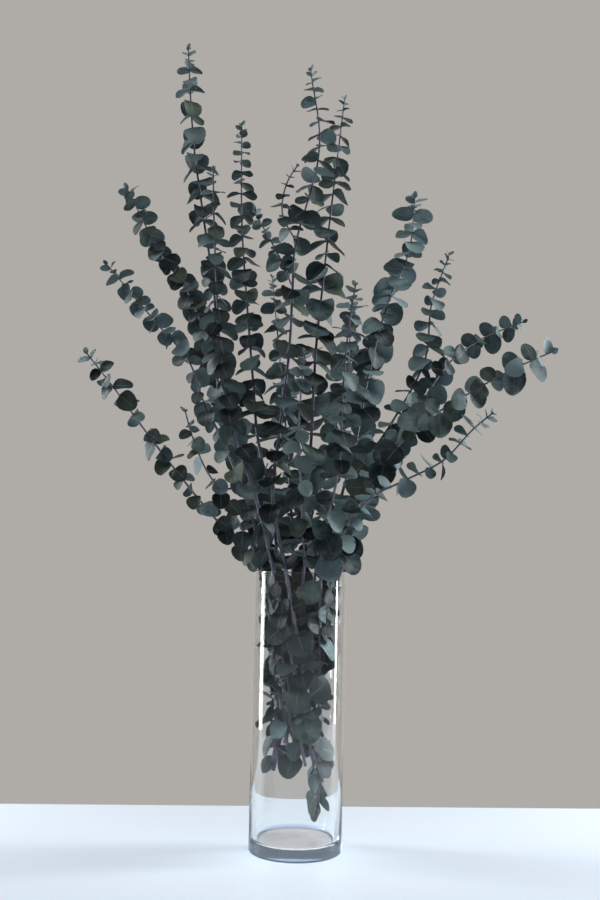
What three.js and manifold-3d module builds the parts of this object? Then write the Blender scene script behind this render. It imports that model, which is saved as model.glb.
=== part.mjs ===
// A bunch of preserved eucalyptus branches standing in a tall clear glass cylinder vase.
// Millimetres, +Z up. The vase's base is centred on the origin and the viewer stands towards -Y.
import * as THREE from "three";
import { mergeVertices } from "three/addons/utils/BufferGeometryUtils.js";
import Module from "manifold-3d";

const wasm = await Module();
wasm.setup();

// Vase
const VASE_HEIGHT = 300;
const VASE_RADIUS = 50;
const GLASS_WALL = 3.5;
const GLASS_BASE = 12;
// Below this height the wall thickens, by the square of the way down, to its most at the floor
const THICKENING_HEIGHT = 110;
const THICKENING_STEPS = 3;
const FLOOR_WALL = 7.5;
const RIM_ROUND = 1;
const FOOT_ROUND = 2.5;
const FLOOR_ROUND = 4;
const ROUND_SHARE = 0.3;
const VASE_SIDES = 36;

// Clearance between neighbouring pieces, and between a stem and the rim that it leans on
const GAP = 0.3;
const RIM_ROOM = 0.5;
const SAME_POINT = 1e-5;

// Stems: thin at the tip, thicker with the distance from it
const STEM_TIP_RADIUS = 0.8;
const STEM_TAPER = 0.0027;
const STEM_MAX_RADIUS = 2.6;
const STEM_SIDES = 4;
const STEM_STEP = 45;
const ROUTE_STEPS = 24;
const TANGENT_REACH = 2;

// The bunch is twisted in the vase: each stem runs round by this angle between rim and floor
const SPIRAL = 112;
const KNEE_HEIGHT = 225;

// Leaf pairs, counted from the tip. Of each cycle of pairs, the solid ones are built here.
const FIRST_PAIR = 3;
const TIP_SPACING = 6;
const SPACING_GROWTH = 1.3;
const PAIR_CYCLE = 5;
const SOLID_PAIRS = [0, 3];
const QUARTER_TURN = 90;
const HALF_TURN = 180;
const PAIR_DRIFT = 1.5;
const TURN_JITTER = 24;
const TWIG_BARE = 14;

// Leaf stance in degrees: upright round the tip, then spreading or drooping.
const TIP_RISE = 62;
const RISE_REACH = 22;
const TILT_JITTER = 20;
const ROLL_JITTER = 26;
const STEEPEST = 66;
const LOWEST = -58;

// Leaves in the vase lie against the glass, most of them folded down and the others up.
const HELD_TILT = 50;
const HELD_UP = 0.35;
const HELD_FACED = 0.85;

// Leaf blade: sizes as shares of its length
const TIP_LEAF = 0.25;
const SWELL_REACH = 450;
const SIZE_JITTER = 0.26;
const LEAF_WIDTH = 1.08;
const SHOULDER_WIDTH = 0.84;

// Outline of a leaf: how far along its midrib and how far aside
const LEAF_OUTLINE = [
  [0.34, -LEAF_WIDTH / 2],
  [0.76, -SHOULDER_WIDTH / 2],
  [1, 0],
  [0.76, SHOULDER_WIDTH / 2],
  [0.34, LEAF_WIDTH / 2],
];

// Leaf form: cup across, arch along, thickness, and height of its root on the stem
const LEAF_CUP = 0.11;
const LEAF_ARCH = 0.12;
const LEAF_THICKNESS = 0.7;
const ROOT_HEIGHT = 1.2;
const MIDDLE = 0.5;

// Triangles of a leaf face, by the numbers of its outline from the left of its root round the tip
const LEAF_FACES = [[0, 1, 5], [0, 5, 6], [1, 2, 3], [1, 3, 5], [3, 4, 5]];

// A leaf that would touch a neighbour gives way: turn and tilt in degrees, and size
const LEAF_ROOM = 0.5;
const NEARBY = 5;
const GIVE_WAY = [
  [0, 0, 1],
  [0, 20, 1],
  [0, -20, 1],
  [24, 0, 1],
  [-24, 0, 1],
  [16, 34, 1],
  [-16, -34, 1],
  [-34, 12, 0.8],
  [34, -12, 0.8],
  [0, 42, 0.65],
  [0, -42, 0.65],
];

// Branches. rim: bearing in degrees at which the stem leans on the rim (0 right, 90 back).
// cut: height of the stem's cut end. bare: length above the cut that has no leaves.
// leaf: length of a full leaf. swell: by what share leaves are longer far below the tip.
// growth: distance from the tip over which leaves reach their size. spacing: between full pairs.
// droop: degrees below level at which full leaves hang. press: how much lower those hang that
// point to front or back. faced: by what share blades roll their faces to the front.
// turn: bearing of the first pair round the stem. upright: where a stem stands straight in the vase.
// via: points of the stem above the rim, ending at the tip.
// twigs: side twigs, from the numbered via point through their own points to their tip.
const BRANCHES = [
  {
    name: "branch_tall_left", rim: 230, cut: 100, bare: 20,
    leaf: 18.5, swell: 0.3, growth: 30, spacing: 14, droop: 30, press: 22, faced: 0, turn: 2,
    via: [[-46, -52, 370], [-85, -70, 497], [-95, -72, 590], [-108, -72, 668], [-120, -71, 747],
      [-128, -70, 845]],
    twigs: [{ from: 1, turn: 9, leaf: 18, via: [[-90, -84, 568], [-94, -98, 642], [-96, -110, 708]] }],
  },
  {
    name: "branch_tall_front", rim: 250, cut: 75, bare: 10,
    leaf: 19, swell: 0.3, growth: 36, spacing: 14, droop: 13, press: 14, faced: 0, turn: 30,
    via: [[-30, -53, 372], [-25, -62, 442], [-16, -68, 530], [-14, -69, 595], [-11, -68, 643],
      [11, -65, 740], [0, -60, 829]],
    twigs: [
      {
        from: 4, turn: -20, leaf: 14,
        via: [[-24, -80, 663], [-26, -88, 679], [-21, -94, 699], [-10, -100, 716]],
      },
      { from: 3, turn: 18, leaf: 18, via: [[-28, -56, 628], [-45, -44, 660], [-59, -32, 685]] },
    ],
  },
  {
    name: "branch_tall_right", rim: 66, cut: 82, bare: 12,
    leaf: 18, swell: 0.75, growth: 26, spacing: 14, droop: 15, press: 22, faced: 0.05, turn: 38,
    via: [[7, 54, 375], [10, 64, 455], [13, 70, 547], [20, 72, 628], [28, 74, 716], [41, 75, 843]],
  },
  {
    name: "branch_centre_left", rim: 126, cut: 100, bare: 20,
    leaf: 16, swell: 0.6, growth: 24, spacing: 13, droop: 16, press: 18, faced: 0.05, turn: 42,
    via: [[-33, 54, 363], [-51, 68, 443], [-58, 75, 506], [-68, 84, 605], [-76, 90, 700], [-79, 95, 816]],
  },
  {
    name: "branch_right_back", rim: 45, cut: 110, bare: 25,
    leaf: 23, swell: 0.2, growth: 10, spacing: 12, droop: 25, press: 28, faced: 0.55, turn: 10,
    via: [[41, 48, 365], [59, 70, 434], [74, 92, 516], [95, 110, 603], [122, 124, 673], [129, 130, 743]],
  },
  {
    name: "branch_right_middle", rim: 22, cut: 115, bare: 30,
    leaf: 17, swell: 0.5, growth: 24, spacing: 14, droop: 20, press: 16, faced: 0.05, turn: 36,
    via: [[49, 22, 352], [65, 30, 410], [98, 38, 462], [135, 48, 533], [143, 54, 599], [164, 60, 661]],
  },
  {
    name: "branch_right_low_back", rim: 2, cut: 120, bare: 35,
    leaf: 19, swell: 0.3, growth: 12, spacing: 12, droop: 22, press: 30, faced: 0.7, turn: 5,
    via: [[57, 6, 350], [91, 20, 421], [124, 34, 472], [158, 46, 527], [199, 58, 561], [252, 70, 585]],
  },
  {
    name: "branch_right_low", rim: 340, cut: 95, bare: 15,
    leaf: 21, swell: 0.25, growth: 10, spacing: 11, droop: 20, press: 32, faced: 0.75, turn: -6,
    via: [[54, -30, 351], [86, -48, 417], [129, -62, 461], [176, -74, 492], [215, -82, 514],
      [254, -90, 532]],
  },
  {
    name: "branch_right_front", rim: 318, cut: 85, bare: 12,
    leaf: 16, swell: 0.05, growth: 8, spacing: 13, droop: 10, press: 18, faced: 0.25, turn: 24,
    via: [[45, -52, 345], [71, -80, 379], [103, -100, 397], [139, -116, 417], [166, -126, 447],
      [186, -135, 465]],
  },
  {
    name: "branch_left_high", rim: 150, cut: 120, bare: 30,
    leaf: 18.5, swell: 0.3, growth: 11, spacing: 11, droop: 28, press: 30, faced: 0.6, turn: 14,
    via: [[-48, 32, 357], [-70, 46, 424], [-102, 65, 521], [-131, 80, 604], [-171, 92, 661],
      [-214, 105, 740]],
  },
  {
    name: "branch_left_middle", rim: 170, cut: 110, bare: 20,
    leaf: 17.5, swell: 0.05, growth: 13, spacing: 12, droop: 30, press: 24, faced: 0.4, turn: 20,
    via: [[-54, 14, 357], [-85, 24, 431], [-112, 32, 484], [-130, 38, 529], [-169, 48, 573],
      [-229, 60, 641]],
  },
  {
    name: "branch_left_low", rim: 190, cut: 120, bare: 20,
    leaf: 17.5, swell: -0.25, growth: 10, spacing: 12, droop: 28, press: 28, faced: 0.5, turn: 4,
    via: [[-67, -16, 330], [-90, -24, 352], [-118, -36, 385], [-160, -52, 438], [-195, -64, 485],
      [-226, -75, 524]],
  },
  {
    name: "branch_left_front", rim: 206, cut: 95, bare: 12,
    leaf: 16, swell: 0.1, growth: 18, spacing: 14, droop: 18, press: 26, faced: 0.4, turn: 27,
    via: [[-59, -40, 338], [-77, -68, 373], [-97, -90, 403], [-110, -106, 434], [-118, -120, 463]],
  },
  {
    name: "branch_front_right", rim: 298, cut: 30, bare: 6,
    leaf: 19, swell: 0.3, growth: 26, spacing: 15, droop: 14, press: 20, faced: 0.15, turn: 16,
    via: [[24, -62, 342], [36, -102, 406], [38, -126, 475], [41, -140, 532], [48, -150, 587]],
  },
  {
    name: "branch_front", rim: 275, cut: 85, bare: 10, upright: [-3, -6],
    leaf: 17, swell: 0.3, growth: 26, spacing: 15, droop: 14, press: 24, faced: 0.15, turn: 20,
    via: [[1, -66, 351], [-4, -122, 434], [-3, -150, 481], [0, -175, 517]],
  },
  {
    name: "branch_back_left", rim: 101, cut: 110, bare: 25,
    leaf: 17, swell: 0.2, growth: 26, spacing: 15, droop: 16, press: 26, faced: 0.3, turn: -15,
    via: [[-12, 70, 369], [-20, 122, 458], [-31, 166, 558], [-42, 190, 654]],
  },
  {
    name: "branch_back_right", rim: 84, cut: 94, bare: 15,
    leaf: 22, swell: 0.3, growth: 26, spacing: 15, droop: 16, press: 26, faced: 0.3, turn: 11,
    via: [[14, 72, 367], [36, 125, 447], [53, 168, 533], [58, 200, 627]],
  },
];

// Colours
const GLASS_COLOUR = 0xdde7e8;
const GLASS_ROUGHNESS = 0.05;
const GLASS_OPACITY = 0.35;
const LEAF_HUE = 0.48;
const LEAF_SATURATION = 0.13;
const LEAF_LIGHTNESS = 0.33;
const LIGHTNESS_SPREAD = 0.05;
const LEAF_ROUGHNESS = 0.6;

// Seeded draws: the steps that set things and uses apart, and the number of each use
const DRAW_STEP = 12.9898;
const DRAW_USE_STEP = 78.233;
const DRAW_SCALE = 43758.5453;
const SWING = 1;
const TILT = 2;
const ROLL = 3;
const SIZE = 4;
const TONE = 5;
const FOLD = 6;
const LEAVES_APART = 1000;
const TWIG_SEED = 100;
const TWIGS_APART = 10;

const FRONT = new THREE.Vector3(0, -1, 0);
const radians = THREE.MathUtils.degToRad;

// A seeded draw between -spread and +spread for the numbered thing and the use made of it.
function jitter(thing, use, spread) {
  const mixed = Math.sin(thing * DRAW_STEP + use * DRAW_USE_STEP) * DRAW_SCALE;
  return (2 * (mixed - Math.floor(mixed)) - 1) * spread;
}

function polar(bearing, radius, height) {
  const angle = radians(bearing);
  return new THREE.Vector3(radius * Math.cos(angle), radius * Math.sin(angle), height);
}

function toSolid(geometry) {
  const bare = geometry.clone();
  bare.deleteAttribute("normal");
  bare.deleteAttribute("uv");
  const merged = mergeVertices(bare, SAME_POINT);
  return new wasm.Manifold(new wasm.Mesh({
    numProp: 3,
    vertProperties: new Float32Array(merged.attributes.position.array),
    triVerts: new Uint32Array(merged.index.array),
  }));
}

function fromSolid(solid) {
  const mesh = solid.getMesh();
  const geometry = new THREE.BufferGeometry();
  geometry.setAttribute("position", new THREE.BufferAttribute(mesh.vertProperties, 3));
  geometry.setIndex(new THREE.BufferAttribute(mesh.triVerts, 1));
  geometry.computeVertexNormals();
  return geometry;
}

// The glass in section, from the middle of its underside round the rim to the middle of its floor.
function vaseProfile() {
  const inner = VASE_RADIUS - GLASS_WALL;
  const low = VASE_RADIUS - FLOOR_WALL;
  const fall = THICKENING_HEIGHT - GLASS_BASE - FLOOR_ROUND;
  const thickening = Array.from({ length: THICKENING_STEPS + 1 }, (_, step) => {
    const down = step / THICKENING_STEPS;
    return [inner + (low - inner) * down ** 2, THICKENING_HEIGHT - fall * down];
  });
  const points = [
    [0, 0],
    [VASE_RADIUS - FOOT_ROUND, 0],
    [VASE_RADIUS - FOOT_ROUND * ROUND_SHARE, FOOT_ROUND * ROUND_SHARE],
    [VASE_RADIUS, FOOT_ROUND],
    [VASE_RADIUS, VASE_HEIGHT - RIM_ROUND],
    [VASE_RADIUS - RIM_ROUND, VASE_HEIGHT],
    [inner + RIM_ROUND, VASE_HEIGHT],
    [inner, VASE_HEIGHT - RIM_ROUND],
    ...thickening,
    [low - FLOOR_ROUND * ROUND_SHARE, GLASS_BASE + FLOOR_ROUND * ROUND_SHARE],
    [low - FLOOR_ROUND, GLASS_BASE],
    [0, GLASS_BASE],
  ];
  return points.map(([radius, height]) => new THREE.Vector2(radius, height));
}

function vaseGeometry() {
  const geometry = new THREE.LatheGeometry(vaseProfile(), VASE_SIDES);
  geometry.rotateX(Math.PI / 2);
  return geometry;
}

function stemRadius(fromTip) {
  return Math.min(STEM_MAX_RADIUS, STEM_TIP_RADIUS + STEM_TAPER * fromTip);
}

// How far a side of the four-sided stem lies from its axis.
function sideReach(fromTip) {
  return stemRadius(fromTip) * Math.cos(Math.PI / STEM_SIDES);
}

// Where the stem leans on the rim: clear of its inner edge, square to the way it leans.
function rimSeat(branch, below, above) {
  const inner = VASE_RADIUS - GLASS_WALL;
  let last = polar(branch.rim, inner, VASE_HEIGHT);
  let fromTip = 0;
  for (const point of above) {
    fromTip += point.distanceTo(last);
    last = point;
  }
  const outward = polar(branch.rim, 1, 0);
  const rise = above[0].clone().sub(below);
  const lean = Math.atan2(rise.dot(outward), rise.z);
  const chamfer = RIM_ROUND * Math.SQRT1_2 * Math.sin(2 * lean);
  const clear = stemRadius(fromTip) + RIM_ROOM - chamfer;
  return polar(branch.rim, inner - clear * Math.cos(lean), VASE_HEIGHT + clear * Math.sin(lean));
}

// The stem's points from its cut end to its tip.
function stemRoute(branch) {
  const above = branch.via.map((point) => new THREE.Vector3(...point));
  const room = STEM_MAX_RADIUS + 2 * GAP;
  const inVase = (height) => {
    if (branch.upright) {
      return new THREE.Vector3(...branch.upright, height);
    }
    const top = polar(branch.rim, VASE_RADIUS - GLASS_WALL - room, VASE_HEIGHT);
    const floor = polar(branch.rim + SPIRAL, VASE_RADIUS - FLOOR_WALL - room, GLASS_BASE);
    return top.lerp(floor, (VASE_HEIGHT - height) / (VASE_HEIGHT - GLASS_BASE)).setZ(height);
  };
  const knee = inVase(KNEE_HEIGHT);
  return [inVase(branch.cut), knee, rimSeat(branch, knee, above), ...above];
}

// A smooth walk through the points: place and direction at any distance from the tip.
function walkAlong(points) {
  const curve = new THREE.CatmullRomCurve3(points, false, "catmullrom", 0.5);
  const places = curve.getPoints(ROUTE_STEPS * (points.length - 1)).reverse();
  const reach = [0];
  for (let i = 1; i < places.length; i += 1) {
    reach.push(reach[i - 1] + places[i].distanceTo(places[i - 1]));
  }
  const length = reach[reach.length - 1];
  const at = (distance) => {
    const wanted = THREE.MathUtils.clamp(distance, 0, length);
    let i = 1;
    while (i < reach.length - 1 && reach[i] < wanted) {
      i += 1;
    }
    const share = (wanted - reach[i - 1]) / (reach[i] - reach[i - 1]);
    return places[i - 1].clone().lerp(places[i], share);
  };
  const along = (distance) => at(distance - TANGENT_REACH).sub(at(distance + TANGENT_REACH)).normalize();
  return { places, reach, length, at, along };
}

// Two directions square to the stem, the first one as near to +Y as can be.
function across(direction) {
  const depth = new THREE.Vector3(0, 1, 0);
  const first = depth.addScaledVector(direction, -depth.dot(direction)).normalize();
  const second = direction.clone().cross(first);
  return [first, second];
}

// The leaves of one stem by rule: crossed pairs, small and upright at the tip, larger below.
function leavesOf(walk, habit, seed, last) {
  const leaves = [];
  let fromTip = FIRST_PAIR;
  for (let pair = 0; fromTip < last; pair += 1) {
    const open = 1 - Math.exp(-fromTip / habit.growth);
    const swell = 1 + habit.swell * Math.min(1, fromTip / SWELL_REACH);
    const full = habit.leaf * swell * (TIP_LEAF + (1 - TIP_LEAF) * open);
    const young = Math.exp(-fromTip / RISE_REACH);
    const { x, y, z } = walk.at(fromTip);
    const held = z < VASE_HEIGHT;
    for (let side = 0; side < 2; side += 1) {
      const thing = seed * LEAVES_APART + pair * 2 + side;
      const facing = habit.turn + pair * (QUARTER_TURN + PAIR_DRIFT) + side * HALF_TURN;
      const pressed = habit.press * Math.cos(radians(facing)) ** 2;
      const folded = jitter(thing, FOLD, 1) < 1 - 2 * HELD_UP ? -HELD_TILT : HELD_TILT;
      const hung = held ? folded : -habit.droop - pressed;
      const grown = hung + jitter(thing, TILT, TILT_JITTER);
      leaves.push({
        pair,
        side,
        fromTip,
        walk,
        facing,
        swing: jitter(thing, SWING, TURN_JITTER),
        tilt: grown + (TIP_RISE - grown) * young,
        faced: held ? HELD_FACED : habit.faced,
        look: held ? new THREE.Vector3(x, y, 0).normalize() : FRONT,
        roll: jitter(thing, ROLL, ROLL_JITTER),
        size: full * (1 + jitter(thing, SIZE, SIZE_JITTER)),
      });
    }
    fromTip += Math.min(habit.spacing, TIP_SPACING + SPACING_GROWTH * pair);
  }
  return leaves;
}

// The roll about the midrib that makes a face of the blade look one way, less where it can't.
function faceRoll(look, midrib, upward, sideways) {
  const side = -look.dot(sideways);
  const level = look.dot(upward);
  const reach = 1 - look.dot(midrib) ** 2;
  return reach * Math.atan2(level < 0 ? -side : side, Math.abs(level));
}

// A leaf's own frame: its root on the stem's side, its midrib, its breadth and its upper face.
function leafFrame(leaf, [turn, tilt]) {
  const direction = leaf.walk.along(leaf.fromTip);
  const [first, second] = across(direction);
  const towards = (bearing) => first.clone().multiplyScalar(Math.cos(radians(bearing)))
    .addScaledVector(second, Math.sin(radians(bearing)));
  const root = leaf.walk.at(leaf.fromTip).addScaledVector(towards(leaf.facing), sideReach(leaf.fromTip));
  const outward = towards(leaf.facing + leaf.swing + turn);
  const rise = radians(THREE.MathUtils.clamp(leaf.tilt + tilt, LOWEST, STEEPEST));
  const midrib = outward.clone().multiplyScalar(Math.cos(rise)).addScaledVector(direction, Math.sin(rise));
  const upward = direction.multiplyScalar(Math.cos(rise)).addScaledVector(outward, -Math.sin(rise));
  const sideways = upward.clone().cross(midrib);
  const roll = radians(leaf.roll) + leaf.faced * faceRoll(leaf.look, midrib, upward, sideways);
  const breadth = sideways.multiplyScalar(Math.cos(roll)).addScaledVector(upward, Math.sin(roll));
  const normal = midrib.clone().cross(breadth);
  return { root, midrib, breadth, normal };
}

// A corner of a leaf's root: the stem's own corner to the left or right, above or below the leaf.
function rootCorner(leaf, side, face, room) {
  const distance = leaf.fromTip - face * (ROOT_HEIGHT / 2 + room);
  const [first, second] = across(leaf.walk.along(distance));
  const angle = radians(leaf.facing + side * QUARTER_TURN / 2);
  const radius = stemRadius(distance) + room;
  return leaf.walk.at(distance)
    .addScaledVector(first, radius * Math.cos(angle))
    .addScaledVector(second, radius * Math.sin(angle));
}

// The upper and lower corners of a leaf where it grows: cupped across, arched along, with room to spare.
function bladeCorners(leaf, stance, room) {
  const frame = leafFrame(leaf, stance);
  const size = leaf.size * stance[2];
  const half = LEAF_THICKNESS / 2 + room;
  const corner = ([x, y], face) => {
    const height = size * (LEAF_CUP * (2 * y / LEAF_WIDTH) ** 2 - LEAF_ARCH * x ** 2) + face * half;
    return frame.root.clone()
      .addScaledVector(frame.midrib, x * size + Math.sign(x - MIDDLE) * room)
      .addScaledVector(frame.breadth, y * size + Math.sign(y) * room)
      .addScaledVector(frame.normal, height);
  };
  const side = (face) => [
    rootCorner(leaf, -1, face, room),
    ...LEAF_OUTLINE.map((point) => corner(point, face)),
    rootCorner(leaf, 1, face, room),
  ];
  return { upper: side(1), lower: side(-1) };
}

// A closed skin that is put together corner by corner.
class Skin {
  constructor() {
    this.corners = [];
    this.faces = [];
  }

  corner(point) {
    this.corners.push(point);
    return this.corners.length - 1;
  }

  quad(a, b, c, d) {
    this.faces.push([a, b, c], [a, c, d]);
  }

  // Both faces of a blade and its edge, from the numbers of its upper and lower corners.
  blade(upper, lower) {
    for (const [a, b, c] of LEAF_FACES) {
      this.faces.push([upper[a], upper[b], upper[c]]);
      this.faces.push([lower[c], lower[b], lower[a]]);
    }
    for (let i = 0; i + 1 < upper.length; i += 1) {
      this.quad(lower[i], lower[i + 1], upper[i + 1], upper[i]);
    }
  }

  geometry() {
    const geometry = new THREE.BufferGeometry().setFromPoints(this.corners);
    geometry.setIndex(this.faces.flat());
    return geometry;
  }
}

// One leaf on its own, closed at the root, to be tried against its neighbours.
function looseBlade(leaf, stance, room) {
  const { upper, lower } = bladeCorners(leaf, stance, room);
  const skin = new Skin();
  const above = upper.map((point) => skin.corner(point));
  const below = lower.map((point) => skin.corner(point));
  const last = above.length - 1;
  skin.blade(above, below);
  skin.quad(below[last], below[0], above[0], above[last]);
  const geometry = skin.geometry();
  geometry.computeBoundingSphere();
  return geometry;
}

// Places down a stem that need a ring: above and below each pair of leaves, and between far ones.
function stationsOf(stem, settled) {
  const pairs = stem.leaves.filter((leaf) => leaf.side === 0).map(({ pair, fromTip, facing }) => ({
    fromTip,
    facing,
    paired: true,
    leaves: settled.filter((leaf) => leaf.pair === pair),
  }));
  const bends = stem.bends.map((fromTip) => ({ fromTip, facing: null, leaves: [] }));
  const end = { fromTip: stem.walk.length, facing: null, leaves: [] };
  const stations = [{ fromTip: 0, facing: stem.habit.turn, leaves: [] }];
  for (const next of [...pairs, ...bends, end].sort((one, other) => one.fromTip - other.fromTip)) {
    const before = stations[stations.length - 1];
    const distance = next.fromTip - before.fromTip;
    const extra = Math.ceil(distance / STEM_STEP) - 1;
    const twist = next.facing === null ? 0 : quarterTwist(next.facing - before.facing);
    for (let i = 1; i <= extra; i += 1) {
      const share = i / (extra + 1);
      const facing = before.facing + twist * share;
      stations.push({ fromTip: before.fromTip + distance * share, facing, leaves: [] });
    }
    stations.push({ ...next, facing: next.facing ?? before.facing });
  }
  return stations;
}

// Whether two bearings point to the same side of a four-sided stem.
function sameWay(one, other) {
  return Math.cos(radians(one - other)) > Math.cos(Math.PI / STEM_SIDES);
}

// The same turn of a four-sided stem by its smallest angle.
function quarterTwist(angle) {
  return angle - Math.round(angle / QUARTER_TURN) * QUARTER_TURN;
}

// A whole stem with its leaves as one closed skin: at each pair, two of its four sides open into leaves.
function stemSkin(stem, settled) {
  const skin = new Skin();
  const { walk } = stem;
  let sides = 0;
  const ring = (fromTip) => {
    const distance = THREE.MathUtils.clamp(fromTip, 0, walk.length);
    const [first, second] = across(walk.along(distance));
    const numbers = [];
    for (let i = 0; i < STEM_SIDES; i += 1) {
      const angle = radians(sides + (i - 0.5) * QUARTER_TURN);
      const point = walk.at(distance).addScaledVector(first, stemRadius(distance) * Math.cos(angle));
      numbers.push(skin.corner(point.addScaledVector(second, stemRadius(distance) * Math.sin(angle))));
    }
    return numbers;
  };
  const wall = (above, below, i) => {
    const j = (i + 1) % STEM_SIDES;
    skin.quad(below[i], below[j], above[j], above[i]);
  };
  const walls = (above, below) => above.forEach((_, i) => wall(above, below, i));
  let above = null;
  for (const station of stationsOf(stem, settled)) {
    sides += quarterTwist(station.facing - sides);
    const top = ring(station.fromTip - (station.paired ? ROOT_HEIGHT / 2 : 0));
    if (above) {
      walls(above, top);
    } else {
      skin.quad(...top);
    }
    above = top;
    if (station.paired) {
      const low = ring(station.fromTip + ROOT_HEIGHT / 2);
      for (let i = 0; i < STEM_SIDES; i += 1) {
        const j = (i + 1) % STEM_SIDES;
        const bearing = sides + i * QUARTER_TURN;
        const leaf = station.leaves.find((one) => sameWay(one.facing, bearing));
        if (leaf) {
          const upper = leaf.upper.slice(1, -1).map((point) => skin.corner(point));
          const lower = leaf.lower.slice(1, -1).map((point) => skin.corner(point));
          skin.blade([top[i], ...upper, top[j]], [low[i], ...lower, low[j]]);
        } else {
          wall(top, low, i);
        }
      }
      above = low;
    }
  }
  skin.quad(...[...above].reverse());
  return skin.geometry();
}

function touches(one, other) {
  return !one.intersect(other).isEmpty();
}

function nearStem(sphere, stem) {
  const reach = sphere.radius + STEM_MAX_RADIUS + NEARBY;
  return stem.walk.places.some((place) => place.distanceTo(sphere.center) < reach);
}

// The first stance of the leaf that is clear of the glass, the other stems and the leaves so far.
function settle(leaf, own, stems, leaves, glass) {
  for (const stance of GIVE_WAY) {
    const roomy = looseBlade(leaf, stance, LEAF_ROOM);
    const sphere = roomy.boundingSphere;
    const tested = toSolid(roomy);
    const low = sphere.center.z - sphere.radius < VASE_HEIGHT;
    const blocked = (low && touches(tested, glass))
      || stems.some((stem) => stem !== own && nearStem(sphere, stem) && touches(tested, stem.solid))
      || leaves.some((other) => (other.stem !== own || other.pair !== leaf.pair)
        && other.sphere.center.distanceTo(sphere.center) < other.sphere.radius + sphere.radius
        && touches(tested, other.solid));
    if (!blocked) {
      const solid = toSolid(looseBlade(leaf, stance, 0));
      return { ...leaf, ...bladeCorners(leaf, stance, 0), stem: own, sphere, solid };
    }
  }
  return null;
}

// All stems of a branch: the main stem, then its twigs.
function stemsOf(branch, number) {
  const route = stemRoute(branch);
  const main = walkAlong(route);
  const stems = [{
    walk: main,
    habit: branch,
    seed: number + 1,
    last: main.length - branch.bare,
    bends: [main.reach[ROUTE_STEPS * branch.via.length]],
  }];
  for (const [index, twig] of (branch.twigs ?? []).entries()) {
    const points = [branch.via[twig.from], ...twig.via];
    const walk = walkAlong(points.map((point) => new THREE.Vector3(...point)));
    stems.push({
      walk,
      habit: { ...branch, ...twig },
      seed: TWIG_SEED + number * TWIGS_APART + index,
      last: walk.length - TWIG_BARE,
      bends: [],
    });
  }
  for (const stem of stems) {
    const all = leavesOf(stem.walk, stem.habit, stem.seed, stem.last);
    stem.leaves = all.filter(({ pair }) => SOLID_PAIRS.includes(pair % PAIR_CYCLE));
    stem.solid = toSolid(stemSkin(stem, []));
  }
  return stems;
}

function glassMaterial() {
  return new THREE.MeshStandardMaterial({
    color: GLASS_COLOUR,
    roughness: GLASS_ROUGHNESS,
    metalness: 0,
    transparent: true,
    opacity: GLASS_OPACITY,
  });
}

function foliageMaterial(number) {
  const lightness = LEAF_LIGHTNESS + jitter(number, TONE, LIGHTNESS_SPREAD);
  const color = new THREE.Color().setHSL(LEAF_HUE, LEAF_SATURATION, lightness);
  return new THREE.MeshStandardMaterial({ color, roughness: LEAF_ROUGHNESS, metalness: 0 });
}

function named(name, geometry, material) {
  const mesh = new THREE.Mesh(geometry, material);
  mesh.name = name;
  return mesh;
}

function eucalyptusInVase() {
  const group = new THREE.Group();
  const glass = toSolid(vaseGeometry());
  group.add(named("vase", fromSolid(glass), glassMaterial()));
  const branches = BRANCHES.map((branch, number) => stemsOf(branch, number));
  const stems = branches.flat();
  const leaves = [];
  for (const stem of stems) {
    for (const leaf of stem.leaves) {
      const settled = settle(leaf, stem, stems, leaves, glass);
      if (settled) {
        leaves.push(settled);
      }
    }
  }
  BRANCHES.forEach((branch, number) => {
    const skins = branches[number].map((stem) => {
      const settled = leaves.filter((leaf) => leaf.stem === stem);
      return toSolid(stemSkin(stem, settled));
    });
    const joined = skins.reduce((whole, skin) => whole.add(skin));
    group.add(named(branch.name, fromSolid(joined), foliageMaterial(number)));
  });
  return group;
}

export default eucalyptusInVase();
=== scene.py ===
"""Preserved eucalyptus branches in a tall glass cylinder vase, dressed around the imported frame.

The stems and leaves follow the same routes and the same leaf rule as the solids. They are worked
out in millimetres with numpy, as whole arrays, and go into the meshes in metres.
"""

import math

import bpy
import numpy as np
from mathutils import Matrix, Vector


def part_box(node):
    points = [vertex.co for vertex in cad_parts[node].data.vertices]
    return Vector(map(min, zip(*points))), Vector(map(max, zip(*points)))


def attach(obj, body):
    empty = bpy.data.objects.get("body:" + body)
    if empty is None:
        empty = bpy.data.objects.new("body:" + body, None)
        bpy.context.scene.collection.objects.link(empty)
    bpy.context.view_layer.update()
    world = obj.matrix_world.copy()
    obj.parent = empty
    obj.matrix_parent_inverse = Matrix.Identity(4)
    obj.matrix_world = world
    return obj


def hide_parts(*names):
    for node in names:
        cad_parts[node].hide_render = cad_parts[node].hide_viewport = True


bl_info = {
    "name": "Eucalyptus in a Glass Vase",
    "version": (1, 0, 0),
    "blender": (4, 5, 0),
    "location": "3D View > Sidebar > Eucalyptus",
    "description": "Dresses the packed vase and branches with glass, round stems and leaves",
    "category": "Object",
}

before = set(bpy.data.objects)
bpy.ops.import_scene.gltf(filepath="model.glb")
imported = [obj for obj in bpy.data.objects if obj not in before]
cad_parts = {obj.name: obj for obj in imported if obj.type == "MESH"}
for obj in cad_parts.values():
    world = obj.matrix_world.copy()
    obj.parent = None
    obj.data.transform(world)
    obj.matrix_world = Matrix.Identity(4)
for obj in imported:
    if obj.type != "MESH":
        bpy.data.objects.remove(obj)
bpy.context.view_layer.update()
MM = 0.001

# Vase, in millimetres, as in the solids
VASE_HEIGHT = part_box("vase")[1].z / MM
VASE_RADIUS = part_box("vase")[1].x / MM
GLASS_WALL = 3.5
GLASS_BASE = 12.0
THICKENING_HEIGHT = 110.0
FLOOR_WALL = 7.5
RIM_ROUND = 1.0
FOOT_ROUND = 2.5
FLOOR_ROUND = 4.0

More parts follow.
